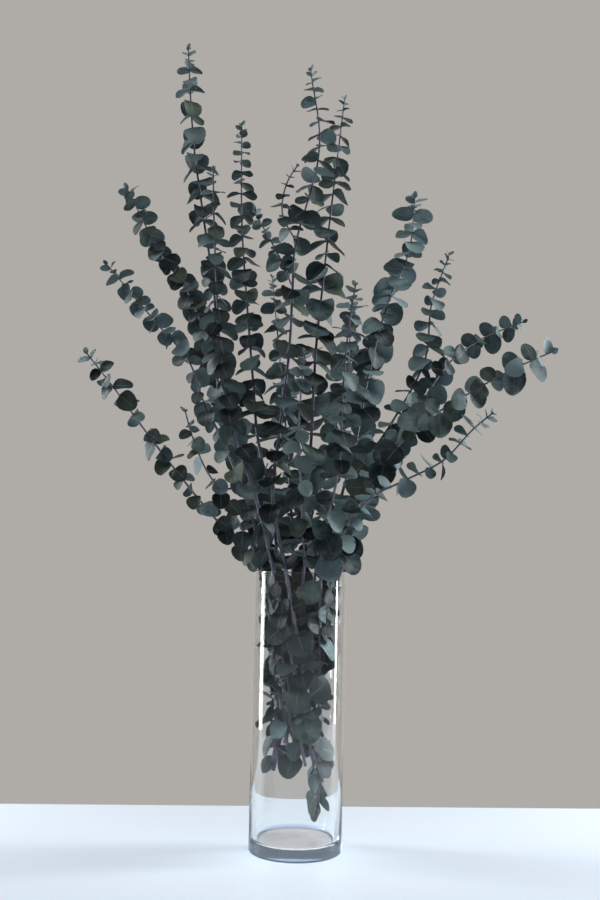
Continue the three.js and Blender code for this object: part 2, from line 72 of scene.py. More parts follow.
# Stems, in millimetres, with the turn of their spiral in the vase in degrees
GAP = 0.3
RIM_ROOM = 0.5
STEM_TIP_RADIUS = 0.8
STEM_TAPER = 0.0027
STEM_MAX_RADIUS = 2.6
SIDE_SHARE = math.sqrt(0.5)
ROUTE_STEPS = 24
TANGENT_REACH = 2.0
SPIRAL = 112.0
KNEE_HEIGHT = 225.0

# Leaf pairs, counted from the tip, in millimetres and degrees. The solids hold the solid pairs of
# each cycle.
FIRST_PAIR = 3.0
TIP_SPACING = 6.0
SPACING_GROWTH = 1.3
MOST_PAIRS = 120
PAIR_CYCLE = 5
SOLID_PAIRS = (0, 3)
PAIR_TURN = 91.5
TURN_JITTER = 24.0
TWIG_BARE = 14.0

# Leaf stance, in degrees, with the reach of the tip's rise in millimetres
TIP_RISE = 62.0
RISE_REACH = 22.0
TILT_JITTER = 20.0
ROLL_JITTER = 26.0
STEEPEST = 66.0
LOWEST = -58.0

# Leaves in the vase lie against the glass, most of them folded down and the others up
HELD_TILT = 50.0
HELD_UP = 0.35
HELD_FACED = 0.85

# Leaf size and blade, as shares, with the reach of the swell and the thickness in millimetres
TIP_LEAF = 0.25
SWELL_REACH = 450.0
SIZE_JITTER = 0.26
LEAF_WIDTH = 1.08
LEAF_CUP = 0.11
LEAF_ARCH = 0.12
LEAF_THICKNESS = 0.7

# A leaf that would touch a neighbour gives way: turn and tilt in degrees, and size
GIVE_WAY = np.array([
    [0, 0, 1],
    [0, 20, 1],
    [0, -20, 1],
    [24, 0, 1],
    [-24, 0, 1],
    [16, 34, 1],
    [-16, -34, 1],
    [-34, 12, 0.8],
    [34, -12, 0.8],
    [0, 42, 0.65],
    [0, -42, 0.65],
], float)

# The leaves that only the scene holds give way further in the vase, and are fewer above its rim,
# where they were stripped: the share kept at the rim, and the height over which it grows to all
STRIPPED_SHARE = 0.36
STRIPPED_REACH = 420.0
GIVE_MORE = np.array([
    [turn, tilt, size]
    for size in (0.9, 0.75, 0.6)
    for turn in (0, 35, -35, 70, -70)
    for tilt in (0, 25, -25, 60, 95)
], float)
STANCES = np.vstack([GIVE_WAY, GIVE_MORE])

# Steps of the seeded draw for a thing and for its use, how far its sine is spread, and the uses
THING_STEP = 12.9898
USE_STEP = 78.233
SINE_SPREAD = 43758.5453
SWING, TILT, ROLL, SIZE, TONE, FOLD, BLOOM, WAVE, CUP, ARCH, STRIP = range(1, 12)

# Seeds: the things that a stem may draw for, the first twig's seed and the twigs that a branch may have
STEM_THINGS = 1000
TWIG_SEED = 100
BRANCH_TWIGS = 10

# Branches: name, then rim bearing, cut height and bare length, then the habit of the leaves (length,
# swell, growth, spacing, droop, press, share faced to the front, turn), then the points above the
# rim to the tip, the twigs (from via point, turn, leaf, points) and where a stem stands upright
BRANCHES = [
    ("tall_left", (230, 100, 20), (18.5, 0.3, 30, 14, 30, 22, 0, 2),
     [[-46, -52, 370], [-85, -70, 497], [-95, -72, 590], [-108, -72, 668], [-120, -71, 747],
      [-128, -70, 845]],
     [(1, 9, 18, [[-90, -84, 568], [-94, -98, 642], [-96, -110, 708]])], None),
    ("tall_front", (250, 75, 10), (19, 0.3, 36, 14, 13, 14, 0, 30),
     [[-30, -53, 372], [-25, -62, 442], [-16, -68, 530], [-14, -69, 595], [-11, -68, 643],
      [11, -65, 740], [0, -60, 829]],
     [(4, -20, 14, [[-24, -80, 663], [-26, -88, 679], [-21, -94, 699], [-10, -100, 716]]),
      (3, 18, 18, [[-28, -56, 628], [-45, -44, 660], [-59, -32, 685]])], None),
    ("tall_right", (66, 82, 12), (18, 0.75, 26, 14, 15, 22, 0.05, 38),
     [[7, 54, 375], [10, 64, 455], [13, 70, 547], [20, 72, 628], [28, 74, 716], [41, 75, 843]],
     [], None),
    ("centre_left", (126, 100, 20), (16, 0.6, 24, 13, 16, 18, 0.05, 42),
     [[-33, 54, 363], [-51, 68, 443], [-58, 75, 506], [-68, 84, 605], [-76, 90, 700],
      [-79, 95, 816]], [], None),
    ("right_back", (45, 110, 25), (23, 0.2, 10, 12, 25, 28, 0.55, 10),
     [[41, 48, 365], [59, 70, 434], [74, 92, 516], [95, 110, 603], [122, 124, 673],
      [129, 130, 743]], [], None),
    ("right_middle", (22, 115, 30), (17, 0.5, 24, 14, 20, 16, 0.05, 36),
     [[49, 22, 352], [65, 30, 410], [98, 38, 462], [135, 48, 533], [143, 54, 599],
      [164, 60, 661]], [], None),
    ("right_low_back", (2, 120, 35), (19, 0.3, 12, 12, 22, 30, 0.7, 5),
     [[57, 6, 350], [91, 20, 421], [124, 34, 472], [158, 46, 527], [199, 58, 561],
      [252, 70, 585]], [], None),
    ("right_low", (340, 95, 15), (21, 0.25, 10, 11, 20, 32, 0.75, -6),
     [[54, -30, 351], [86, -48, 417], [129, -62, 461], [176, -74, 492], [215, -82, 514],
      [254, -90, 532]], [], None),
    ("right_front", (318, 85, 12), (16, 0.05, 8, 13, 10, 18, 0.25, 24),
     [[45, -52, 345], [71, -80, 379], [103, -100, 397], [139, -116, 417], [166, -126, 447],
      [186, -135, 465]], [], None),
    ("left_high", (150, 120, 30), (18.5, 0.3, 11, 11, 28, 30, 0.6, 14),
     [[-48, 32, 357], [-70, 46, 424], [-102, 65, 521], [-131, 80, 604], [-171, 92, 661],
      [-214, 105, 740]], [], None),
    ("left_middle", (170, 110, 20), (17.5, 0.05, 13, 12, 30, 24, 0.4, 20),
     [[-54, 14, 357], [-85, 24, 431], [-112, 32, 484], [-130, 38, 529], [-169, 48, 573],
      [-229, 60, 641]], [], None),
    ("left_low", (190, 120, 20), (17.5, -0.25, 10, 12, 28, 28, 0.5, 4),
     [[-67, -16, 330], [-90, -24, 352], [-118, -36, 385], [-160, -52, 438], [-195, -64, 485],
      [-226, -75, 524]], [], None),
    ("left_front", (206, 95, 12), (16, 0.1, 18, 14, 18, 26, 0.4, 27),
     [[-59, -40, 338], [-77, -68, 373], [-97, -90, 403], [-110, -106, 434], [-118, -120, 463]],
     [], None),
    ("front_right", (298, 30, 6), (19, 0.3, 26, 15, 14, 20, 0.15, 16),
     [[24, -62, 342], [36, -102, 406], [38, -126, 475], [41, -140, 532], [48, -150, 587]],
     [], None),
    ("front", (275, 85, 10), (17, 0.3, 26, 15, 14, 24, 0.15, 20),
     [[1, -66, 351], [-4, -122, 434], [-3, -150, 481], [0, -175, 517]], [], (-3, -6)),
    ("back_left", (101, 110, 25), (17, 0.2, 26, 15, 16, 26, 0.3, -15),
     [[-12, 70, 369], [-20, 122, 458], [-31, 166, 558], [-42, 190, 654]], [], None),
    ("back_right", (84, 94, 15), (22, 0.3, 26, 15, 16, 26, 0.3, 11),
     [[14, 72, 367], [36, 125, 447], [53, 168, 533], [58, 200, 627]], [], None),
]

# The finer leaf: its rows along the midrib and its columns from margin to margin, then what shapes
# and varies the blade, as shares, with its sunk root and all reaches in millimetres
LEAF_ROWS = np.array([0.05, 0.19, 0.4, 0.63, 0.83, 0.96])
LEAF_COLUMNS = np.array([-1.0, -0.52, 0.0, 0.52, 1.0])
WIDEST_AT = 0.72
ROOT_SUNK = 0.9
YOUNG_WIDTH = 0.55
YOUNG_REACH = 22.0
CUP_SPREAD = 0.9
ARCH_SPREAD = 0.9
WAVE_SPREAD = 0.06
WAVE_ALONG = 7
WAVE_ACROSS = 1.5
LEAF_AGE_REACH = 60

# The finer stem, in millimetres, with its thickness and swelling as shares
STEM_SIDES = 8
ROUND_SHARE = 0.86
NODE_SWELL = 0.3
NODE_REACH = 1.7
JOINT_REACH = 3
TIP_RING = 0.4
BARE_FROM = 6
BARE_STEP = 9.0
BARK_AGE_REACH = 120
GRAIN_LENGTH = 100

# Material slots of a branch
LEAF_SLOT = 0
BARK_SLOT = 1

# Painted shade: leaves in the vase are painted darker, with less bloom, for the shade inside the glass
VASE_SHADE_TONE = 0.2
VASE_SHADE_BLOOM = 0.3

# The way to the viewer
FRONT = np.array([0.0, -1.0, 0.0])

# Branches whose leaves have more of the pale bloom
PALER = {
    "left_middle": 0.4, "right_middle": 0.3, "right_front": 0.3, "right_back": 0.3,
    "right_low": 0.1, "right_low_back": 0.2, "front": 0.25, "front_right": 0.25,
}

# Room kept between the leaves that the solids don't hold and everything else, in millimetres, and how
# near a neighbour, the own stem and a solid leaf's tip are looked for
LEAF_ROOM = 0.8
STEM_ROOM = 0.5
GLASS_ROOM = 0.7
STEM_MARGIN = 1.0
NEIGHBOUR_SHARE = 0.62
OWN_STEM = 9.0
STEM_SAMPLE = 4.0
MATCH = 0.4

# Places on a leaf, as shares, where it is tested
SAMPLE_ALONG = (0.12, 0.35, 0.6, 0.82, 0.98)
SAMPLE_ACROSS = (-0.97, -0.5, 0.0, 0.5, 0.97)

# Finer turned glass: a short straight beside each round, in millimetres, the share of the radius at
# which its flat ends have a ring, and the points of its rounds and its taper
HOLD = 0.4
HUB_SHARE = 0.5
RIM_STEPS = 7
FOOT_STEPS = 9
TAPER_STEPS = 14

# Noise of the materials: scale for a metre, detail and roughness
LEAF_PATCHES = (85.0, 3.0, 0.6)
LEAF_MOTTLE = (620.0, 4.0, 0.65)
LEAF_WANDER = (240.0, 1.0, 0.5)
LEAF_SPOTS = (1400.0, 1.0, 0.5)
BARK_STREAKS = (3.0, 3.0, 0.6)
BARK_PATCHES = (60.0, 2.0, 0.5)
BARK_FLECKS = (900.0, 2.0, 0.5)
GLASS_STREAKS = (190.0, 2.0, 0.55)
GLASS_SMUDGES = (24.0, 3.0, 0.5)
GLASS_CLOUDS = (70.0, 3.0, 0.5)
FLOOR_CLOUDS = (2.5, 2.0, 0.5)

# Leaf look: the share of each layer, and the smooth steps that layers pass, from and to
BLADE_TONE, BLADE_PATCHES, BLADE_DROP = 0.55, 0.6, 0.1
WAX_OWN, WAX_PATCHES, WAX_MOTTLE, WAX_AGE = 0.5, 0.5, 0.12, 0.25
UNDER_SHARE = 0.45
RIB_FADE = 0.8
VEINS, VEIN_SLANT, VEIN_WANDER, VEIN_FINENESS = 5.5, 2.1, 0.9, 9.0
PALE_RIB, PALE_VEINS, PALE_MARGIN = 0.4, 0.096, 0.2
SPOT_SHARE = 0.15
LEAF_ROUGH, ROUGH_MOTTLE, ROUGH_RIB = 0.42, 0.2, 0.06
RELIEF_RIB, RELIEF_VEINS, RELIEF_MOTTLE = 0.6, 0.2, 0.12
BLADE_STEP = (0.24, 0.92)
OLIVE_STEP = (0.45, 0.9)
WAX_STEP = (0.29, 0.72)
RIB_STEP = (0.02, 0.11)
RIB_END = (0.55, 1.0)
VEIN_END = (0.6, 1.0)
MARGIN_STEP = (0.93, 1.0)
SPOT_STEP = (0.7, 0.78)
LEAF_BUMP = {"Strength": 0.25, "Distance": 0.0004}
LEAF_SHEEN = {"IOR": 1.45, "Specular IOR Level": 0.4}

# Bark look, in the same way, with its streaks drawn out along the stem
BARK_STRETCH = (9.0, 14.0, 1.0)
BARK_STREAK, BARK_PATCH, BARK_DROP = 0.7, 0.5, 0.1
JOINT_SHARE = 0.4
BARK_ROUGH, ROUGH_FLECK = 0.32, 0.2
RELIEF_STREAK, RELIEF_FLECK = 0.7, 0.4
BARK_STEP = (0.2, 0.8)
YOUNG_STEP = (0.0, 0.35)
BARK_BUMP = {"Strength": 0.5, "Distance": 0.0003}

# Glass look: its streaks drawn out upright, its smudges, and the steps between the tints of foot, ring
# and wall, as shares of the base's thickness and, for the ring, of the radius
GLASS_STRETCH = (1.0, 1.0, 0.015)
FLATTENED = (1.0, 1.0, 0.0)
SMUDGE_ROUGH = 0.02
CLOUD_SHADE = 0.86
SMUDGE_STEP = (0.55, 0.85)
CLOUD_STEP = (0.35, 0.75)
FOOT_STEP = (0.1, 0.4)
RING_STEP = (0.9, 0.97)
WALL_STEP = (1.02, 1.2)
GLASS_BUMP = {"Strength": 0.05, "Distance": 0.0006}

# Floor look
FLOOR_SHADE = 0.97
FLOOR_SHEEN = {"Roughness": 0.45, "Specular IOR Level": 0.25}
# Painted light: the floor glows a little, which lifts the shadows on it
FLOOR_PAINTED_GLOW = 0.24

# Lights: name, place, size, power in watts, colour, the height on the vase's axis that it looks at,
# whether the inner side of the glass shows it, and whether it lights what doesn't shine
LIGHTS = [
    ("window_left", (-0.74, 0.16, 0.8), (0.14, 1.6), 10.0, (0.92, 0.97, 1.0), 0.8, True, True),
    ("window_right", (0.81, 0.17, 0.8), (0.1, 1.6), 14.5, (0.9, 0.96, 1.0), 0.8, False, True),
    ("soft_above", (0.4, -1.0, 2.4), (2.2, 1.6), 16.0, (0.9, 0.96, 1.0), 0.45, False, True),
    ("soft_back", (0.0, 1.6, 0.8), (3.2, 2.4), 13.0, (1.0, 0.97, 0.93), 0.8, False, False),
]

# How much less of the surround a sheen shows, and of what comes through the glass after one mirroring,
# and how much more comes out of the glass after several
SHEEN_DROP = 0.75
MIRROR_DROP = 0.4
TRAPPED_GAIN = 1.8

# Floor slab, in metres: half its width, its front end, its thickness and its gap under the vase
FLOOR_HALF = 1.3
FLOOR_FRONT = -2.2
FLOOR_THICK = 0.03
FLOOR_GAP = 0.0002

# Width of the camera's film, in millimetres
FILM_WIDTH = 36.0


def draw(thing, use):
    """A seeded draw from 0 to 1: the fraction left of a large sine of the thing and its use."""
    mixed = np.sin(np.asarray(thing, float) * THING_STEP + use * USE_STEP) * SINE_SPREAD
    return mixed - np.floor(mixed)


def jitter(thing, use, spread):
    """A seeded draw from -spread to +spread."""
    return (2 * draw(thing, use) - 1) * spread


def unit(vectors):
    """The vectors at length one."""
    return vectors / np.linalg.norm(vectors, axis=-1, keepdims=True)


def polar(bearing, radius, height):
    """A point at a bearing in degrees, a radius and a height."""
    angle = math.radians(bearing)
    return np.array([radius * math.cos(angle), radius * math.sin(angle), height])


def stem_radius(from_tip):
    """Corner radius of the solid stem: grows evenly with the distance from the tip, up to a limit."""
    return np.minimum(STEM_MAX_RADIUS, STEM_TIP_RADIUS + STEM_TAPER * np.asarray(from_tip, float))


class Walk:
    """A smooth curve through points, met from its tip.

    Between two points the curve is a cubic whose slope at each point is half the step between
    that point's two neighbours. Distances are summed over short straight steps.
    """

    def __init__(self, points):
        points = np.array(points, float)
        first = 2 * points[0] - points[1]
        last = 2 * points[-1] - points[-2]
        spaced = np.vstack([first, points, last])
        steps = np.arange(ROUTE_STEPS * (len(points) - 1) + 1) / ROUTE_STEPS
        piece = np.minimum(steps.astype(int), len(points) - 2)
        t = (steps - piece)[:, None]
        before, start, end, after = (spaced[piece + k] for k in range(4))
        leave = 0.5 * (end - before)
        arrive = 0.5 * (after - start)
        cubic = 2 * start - 2 * end + leave + arrive
        square = -3 * start + 3 * end - 2 * leave - arrive
        self.places = (((cubic * t + square) * t + leave) * t + start)[::-1]
        hops = np.linalg.norm(np.diff(self.places, axis=0), axis=1)
        self.reach = np.concatenate([[0], np.cumsum(hops)])
        self.length = self.reach[-1]

    def at(self, distance):
        """Places at distances from the tip."""
        columns = [np.interp(distance, self.reach, self.places[:, k]) for k in range(3)]
        return np.stack(columns, axis=-1)

    def along(self, distance):
        """Directions towards the tip."""
        distance = np.asarray(distance, float)
        return unit(self.at(distance - TANGENT_REACH) - self.at(distance + TANGENT_REACH))


def across(direction):
    """Two directions square to the stem, the first one as near to +Y as can be."""
    depth = np.array([0.0, 1.0, 0.0])
    first = unit(depth - (direction @ depth)[..., None] * direction)
    return first, np.cross(direction, first)


def wall_at(height, wall, base):
    """Thickness of the glass: even, and below a height more by the square of the way down."""
    fall = THICKENING_HEIGHT - base - FLOOR_ROUND
    down = np.clip((THICKENING_HEIGHT - height) / fall, 0.0, 1.0)
    return wall + (FLOOR_WALL - wall) * down**2


def stem_route(rim, cut, via, upright):
    """Points of a stem: cut end, knee, seat on the rim and the points above it."""
    room = STEM_MAX_RADIUS + 2 * GAP
    top = polar(rim, VASE_RADIUS - GLASS_WALL - room, VASE_HEIGHT)
    floor = polar(rim + SPIRAL, VASE_RADIUS - FLOOR_WALL - room, GLASS_BASE)

    def in_vase(height):
        if upright:
            return np.array([*upright, height], float)
        share = (VASE_HEIGHT - height) / (VASE_HEIGHT - GLASS_BASE)
        return np.array([*(top + (floor - top) * share)[:2], height])

    knee = in_vase(KNEE_HEIGHT)
    rise = np.array(via[0], float) - knee
    lean = math.atan2(rise @ polar(rim, 1, 0), rise[2])
    inner = VASE_RADIUS - GLASS_WALL
    above = np.vstack([polar(rim, inner, VASE_HEIGHT), via])
    from_tip = np.linalg.norm(np.diff(above, axis=0), axis=1).sum()
    clear = stem_radius(from_tip) + RIM_ROOM - RIM_ROUND * SIDE_SHARE * math.sin(2 * lean)
    seat = polar(rim, inner - clear * math.cos(lean), VASE_HEIGHT + clear * math.sin(lean))
    return [in_vase(cut), knee, seat, *via]


def face_roll(look, midrib, upward, sideways):
    """The roll about the midrib that makes a face of the blade look one way, or less if it can't."""
    side, level, ahead = ((look * way).sum(axis=1) for way in (-sideways, upward, midrib))
    return (1 - ahead**2) * np.arctan2(np.where(level < 0, -side, side), np.abs(level))


class Stem:
    """A stem's walk and the leaves that the rule gives it, as arrays with one row a leaf.

    Pairs are crossed and set closer and smaller at the tip. A leaf's tilt goes over from steep at
    the tip to drooping, and the leaves to the front and back hang lower.
    """

    def __init__(self, points, bare, habit, seed):
        leaf, swell, growth, spacing, droop, press, faced, turn = habit
        self.walk = Walk(points)
        steps = np.minimum(spacing, TIP_SPACING + SPACING_GROWTH * np.arange(MOST_PAIRS))
        down = FIRST_PAIR + np.concatenate([[0], np.cumsum(steps)])
        self.pairs_at = down[down < self.walk.length - bare]
        pair = np.repeat(np.arange(len(self.pairs_at)), 2)
        side = np.tile([0, 1], len(self.pairs_at))
        thing = seed * STEM_THINGS + pair * 2 + side
        far = self.pairs_at[pair]
        full = leaf * (1 + swell * np.minimum(1, far / SWELL_REACH))
        full = full * (TIP_LEAF + (1 - TIP_LEAF) * (1 - np.exp(-far / growth)))
        self.facing = turn + pair * PAIR_TURN + side * 180
        pressed = press * np.cos(np.radians(self.facing)) ** 2
        self.place = self.walk.at(far)
        held = self.place[:, 2] < VASE_HEIGHT
        folded = np.where(jitter(thing, FOLD, 1) < 1 - 2 * HELD_UP, -HELD_TILT, HELD_TILT)
        grown = np.where(held, folded, -droop - pressed) + jitter(thing, TILT, TILT_JITTER)
        self.faced = np.where(held, HELD_FACED, faced)
        self.look = np.where(held[:, None], unit(self.place * [1, 1, 0]), FRONT)
        self.tilt = grown + (TIP_RISE - grown) * np.exp(-far / RISE_REACH)
        self.swing = jitter(thing, SWING, TURN_JITTER)
        self.roll = jitter(thing, ROLL, ROLL_JITTER)
        self.size = full * (1 + jitter(thing, SIZE, SIZE_JITTER))
        self.pair, self.thing, self.far = pair, thing, far
        self.direction = self.walk.along(far)
        self.first, self.second = across(self.direction)
        self.held = held
        share = STRIPPED_SHARE + (self.place[:, 2] - VASE_HEIGHT) / STRIPPED_REACH
        self.stripped = ~held & (draw(thing, STRIP) > share)

    def frames(self, leaves, stances):
        """Root, midrib, breadth, upper normal and size of the numbered leaves in their stances.

        The midrib leaves the stem's side at the leaf's bearing and rises by its tilt. The breadth
        is square to it, turned about it by the roll.
        """
        first, second, direction = self.first[leaves], self.second[leaves], self.direction[leaves]

        def towards(bearing):
            angle = np.radians(bearing)[:, None]
            return first * np.cos(angle) + second * np.sin(angle)

        reach = stem_radius(self.far[leaves]) * SIDE_SHARE
        root = self.place[leaves] + towards(self.facing[leaves]) * reach[:, None]
        outward = towards(self.facing[leaves] + self.swing[leaves] + stances[:, 0])
        rise = np.radians(np.clip(self.tilt[leaves] + stances[:, 1], LOWEST, STEEPEST))[:, None]
        midrib = outward * np.cos(rise) + direction * np.sin(rise)
        upward = direction * np.cos(rise) - outward * np.sin(rise)
        sideways = np.cross(upward, midrib)
        turned = face_roll(self.look[leaves], midrib, upward, sideways)
        roll = (np.radians(self.roll[leaves]) + self.faced[leaves] * turned)[:, None]
        breadth = sideways * np.cos(roll) + upward * np.sin(roll)
        size = self.size[leaves] * stances[:, 2]
        return root, midrib, breadth, np.cross(midrib, breadth), size


def half_width(share):
    """Half the leaf's width at a share of its length: a circle drawn out towards the tip."""
    drawn = np.clip(share, 0, 1) ** WIDEST_AT
    return LEAF_WIDTH / 2 * np.sqrt(np.clip(4 * drawn * (1 - drawn), 0, None))


def blade_height(along, over):
    """Height of the blade's middle sheet: cupped across and arched along."""
    return LEAF_CUP * (2 * over / LEAF_WIDTH) ** 2 - LEAF_ARCH * along**2


SAMPLE_ROWS, SAMPLE_COLUMNS = (grid.ravel() for grid in np.meshgrid(SAMPLE_ALONG, SAMPLE_ACROSS))
SAMPLE_OVER = SAMPLE_COLUMNS * half_width(SAMPLE_ROWS)
SAMPLE_HEIGHT = blade_height(SAMPLE_ROWS, SAMPLE_OVER)


def leaf_samples(root, midrib, breadth, normal, size):
    """Points spread over each leaf's middle sheet."""
    local = np.stack([SAMPLE_ROWS, SAMPLE_OVER, SAMPLE_HEIGHT])
    axes = np.stack([midrib, breadth, normal], axis=1)
    return root[:, None] + np.einsum("ks,lkx->lsx", local, axes) * size[:, None, None]


def heights_over(points, root, midrib, breadth, normal, size, margin):
    """How far points lie above each leaf's sheet, and which of them lie over or under it."""
    off = points - root[:, None]
    along = np.einsum("lsx,lx->ls", off, midrib) / size[:, None]
    over = np.einsum("lsx,lx->ls", off, breadth) / size[:, None]
    edge = margin / size[:, None]
    inside = (along > -edge) & (along < 1 + edge) & (np.abs(over) < half_width(along) + edge)
    sheet = blade_height(along, over) * size[:, None]
    return np.einsum("lsx,lx->ls", off, normal) - sheet, inside


def cross_sheet(height, inside, room):
    """Whether the points over a sheet lie too near to it or on both sides of it."""
    low = np.where(inside, height, np.inf).min(axis=1)
    high = np.where(inside, height, -np.inf).max(axis=1)
    return inside.any(axis=1) & (low < room) & (high > -room)


class Bunch:
    """All leaves that have their place so far, and the stems, to keep new leaves clear of them."""

    def __init__(self, stems):
        self.leaves = [np.zeros((0, 3)) for _ in range(4)] + [np.zeros(0)]
        self.samples = np.zeros((0, len(SAMPLE_ROWS), 3))
        self.owner = np.zeros((0, 2), int)
        spots, radii, owners, distances = [], [], [], []
        for number, stem in enumerate(stems):
            down = np.arange(0, stem.walk.length, STEM_SAMPLE)
            spots.append(stem.walk.at(down))
            radii.append(stem_radius(down))
            owners.append(np.full(len(down), number))
            distances.append(down)
        self.spots, self.radii = np.concatenate(spots), np.concatenate(radii)
        self.spot_owner, self.spot_down = np.concatenate(owners), np.concatenate(distances)

    def add(self, frames, owner):
        """Takes leaves into the bunch."""
        self.leaves = [np.concatenate(pair) for pair in zip(self.leaves, frames)]
        self.samples = np.concatenate([self.samples, leaf_samples(*frames)])
        self.owner = np.concatenate([self.owner, owner])

    def is_clear(self, frames, owner, far):
        """Whether one leaf in one stance is clear of the glass, the stems and the leaves so far."""
        points = leaf_samples(*frames)
        out = np.hypot(points[0, :, 0], points[0, :, 1])
        low = points[0, :, 2] < VASE_HEIGHT + GLASS_ROOM
        inner = VASE_RADIUS - wall_at(points[0, :, 2], GLASS_WALL, GLASS_BASE) - GLASS_ROOM
        outer = VASE_RADIUS + GLASS_ROOM
        if (low & (out > inner) & (out < outer)).any() or (points[0, :, 2] < GLASS_BASE).any():
            return False
        if (low & (out >= outer)).any() and (low & (out <= inner)).any():
            return False
        centre, reach = points[0].mean(axis=0), frames[4][0]
        near = np.linalg.norm(self.spots - centre, axis=1) < reach + STEM_MAX_RADIUS
        own = (self.spot_owner == owner[0]) & (np.abs(self.spot_down - far) < OWN_STEM)
        near &= ~own
        if near.any():
            height, inside = heights_over(self.spots[near][None], *frames, STEM_MARGIN)
            if (inside & (np.abs(height) < self.radii[near] + STEM_ROOM)).any():
                return False
        middles = self.samples.mean(axis=1)
        apart = np.linalg.norm(middles - centre, axis=1)
        close = apart < NEIGHBOUR_SHARE * (self.leaves[4] + reach)
        close &= (self.owner != owner).any(axis=1)
        if not close.any():
            return True
        others = [part[close] for part in self.leaves]
        height, inside = heights_over(np.repeat(points, close.sum(), axis=0), *others, LEAF_ROOM)
        if cross_sheet(height, inside, LEAF_ROOM).any():
            return False
        mine = [np.repeat(part, close.sum(), axis=0) for part in frames]
        height, inside = heights_over(self.samples[close], *mine, LEAF_ROOM)
        return not cross_sheet(height, inside, LEAF_ROOM).any()


def grown_stems():
    """Every stem of every branch: [(branch number, stem)], main stems before their twigs."""
    stems = []
    for number, row in enumerate(BRANCHES):
        _, (rim, cut, bare), habit, via, twigs, upright = row
        route = stem_route(rim, cut, via, upright)
        stems.append((number, Stem(route, bare, habit, number + 1)))
        for index, (start, turn, leaf, points) in enumerate(twigs):
            own = (leaf, *habit[1:-1], turn)
            seed = TWIG_SEED + number * BRANCH_TWIGS + index
            stems.append((number, Stem([via[start], *points], TWIG_BARE, own, seed)))
    return stems


def built_stances(stem, node):
    """The stance of each solid leaf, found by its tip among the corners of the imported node."""
    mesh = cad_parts[node].data
    corners = np.empty(len(mesh.vertices) * 3, np.float32)
    mesh.vertices.foreach_get("co", corners)
    corners = np.unique(np.round(corners.reshape(-1, 3).astype(float) / MM, 3), axis=0)
    solid = np.flatnonzero(np.isin(stem.pair % PAIR_CYCLE, SOLID_PAIRS))
    stance = np.full(len(stem.pair), -1)
    for number in reversed(range(len(GIVE_WAY))):
        given = np.repeat(GIVE_WAY[number][None], len(solid), axis=0)
        root, midrib, _, normal, size = stem.frames(solid, given)
        drop = blade_height(1.0, 0.0) * size[:, None]
        tip = root + midrib * size[:, None] + normal * (drop + LEAF_THICKNESS / 2)
        gap = np.linalg.norm(tip[:, None] - corners[None], axis=2).min(axis=1)
        stance[solid[gap < MATCH]] = number
    return stance


def settled_leaves(stems):
    """The stance of each leaf by stem, -1 for none: first the solid leaves, then those with room."""
    bunch = Bunch([stem for _, stem in stems])
    chosen = []
    for number, (branch, stem) in enumerate(stems):
        stance = built_stances(stem, "branch_" + BRANCHES[branch][0])
        chosen.append(stance)
        kept = np.flatnonzero(stance >= 0)
        owner = np.stack([np.full(len(kept), number), stem.pair[kept]], axis=1)
        bunch.add(stem.frames(kept, STANCES[stance[kept]]), owner)
    for number, (_, stem) in enumerate(stems):
        for leaf in np.flatnonzero((chosen[number] < 0) & ~stem.stripped):
            owner = np.array([[number, stem.pair[leaf]]])
            for option, given in enumerate(STANCES if stem.held[leaf] else GIVE_WAY):
                frames = stem.frames(np.array([leaf]), given[None])
                if bunch.is_clear(frames, owner[0], stem.far[leaf]):
                    bunch.add(frames, owner)
                    chosen[number][leaf] = option
                    break
    return chosen


class Surface:
    """Corners, faces, corner UVs and point values of a mesh that is put together part by part."""

    def __init__(self):
        self.points, self.faces, self.uvs, self.materials = [], [], [], []
        self.values = {"tone": [], "bloom": [], "age": []}
        self.sharp, self.under, self.count = [], [], 0

    def add(self, points, faces, uvs, material, sharp, under, **values):
        """Adds points, a list of face arrays with their UVs, and one value of each kind a point."""
        self.points.append(points)
        for group, uv, below in zip(faces, uvs, under):
            self.faces.append(group + self.count)
            self.uvs.append(uv.reshape(-1, 2))
            self.under.append(below)
            self.materials.append(np.full(len(group), material))
        for name, value in values.items():
            self.values[name].append(np.broadcast_to(value, len(points)))
        self.sharp.append(sharp)
        self.count += len(points)

    def mesh(self, name):
        """The Blender mesh in metres, smooth but for the sharp margins of its leaves."""
        mesh = bpy.data.meshes.new(name)
        faces = [face for group in self.faces for face in group.tolist()]
        mesh.from_pydata((np.concatenate(self.points) * MM).tolist(), [], faces)
        mesh.update(calc_edges=True)
        mesh.polygons.foreach_set("use_smooth", np.ones(len(faces), bool))
        mesh.polygons.foreach_set("material_index", np.concatenate(self.materials))
        uv = mesh.uv_layers.new(name="GrainUV")
        uv.uv.foreach_set("vector", np.concatenate(self.uvs).astype(np.float32).ravel())
        for key, parts in self.values.items():
            value = mesh.attributes.new(key, "FLOAT", "POINT")
            value.data.foreach_set("value", np.concatenate(parts).astype(np.float32))
        below = mesh.attributes.new("under", "FLOAT", "FACE")
        below.data.foreach_set("value", np.concatenate(self.under).astype(np.float32))
        ends = np.empty(len(mesh.edges) * 2, np.int32)
        mesh.edges.foreach_get("vertices", ends)
        edge = np.concatenate(self.sharp)[ends.reshape(-1, 2)].all(axis=1)
        mesh.attributes.new("sharp_edge", "BOOLEAN", "EDGE").data.foreach_set("value", edge)
        return mesh


def closed_faces(rows, loop):
    """Faces of a grid of rings that closes round and to a pole at each end: (quads, fans).

    Corners are numbered ring by ring, then the pole before the first ring and the one after the last.
    """
    k = np.arange(loop)
    after = (k + 1) % loop
    low = np.arange(rows - 1)[:, None] * loop
    quads = np.stack([low + k, low + loop + k, low + loop + after, low + after], axis=-1)
    before, behind, last = rows * loop, rows * loop + 1, (rows - 1) * loop
    fans = np.stack([
        np.stack([np.full(loop, before), k, after], axis=-1),
        np.stack([np.full(loop, behind), last + after, last + k], axis=-1),
    ])
    return quads, fans


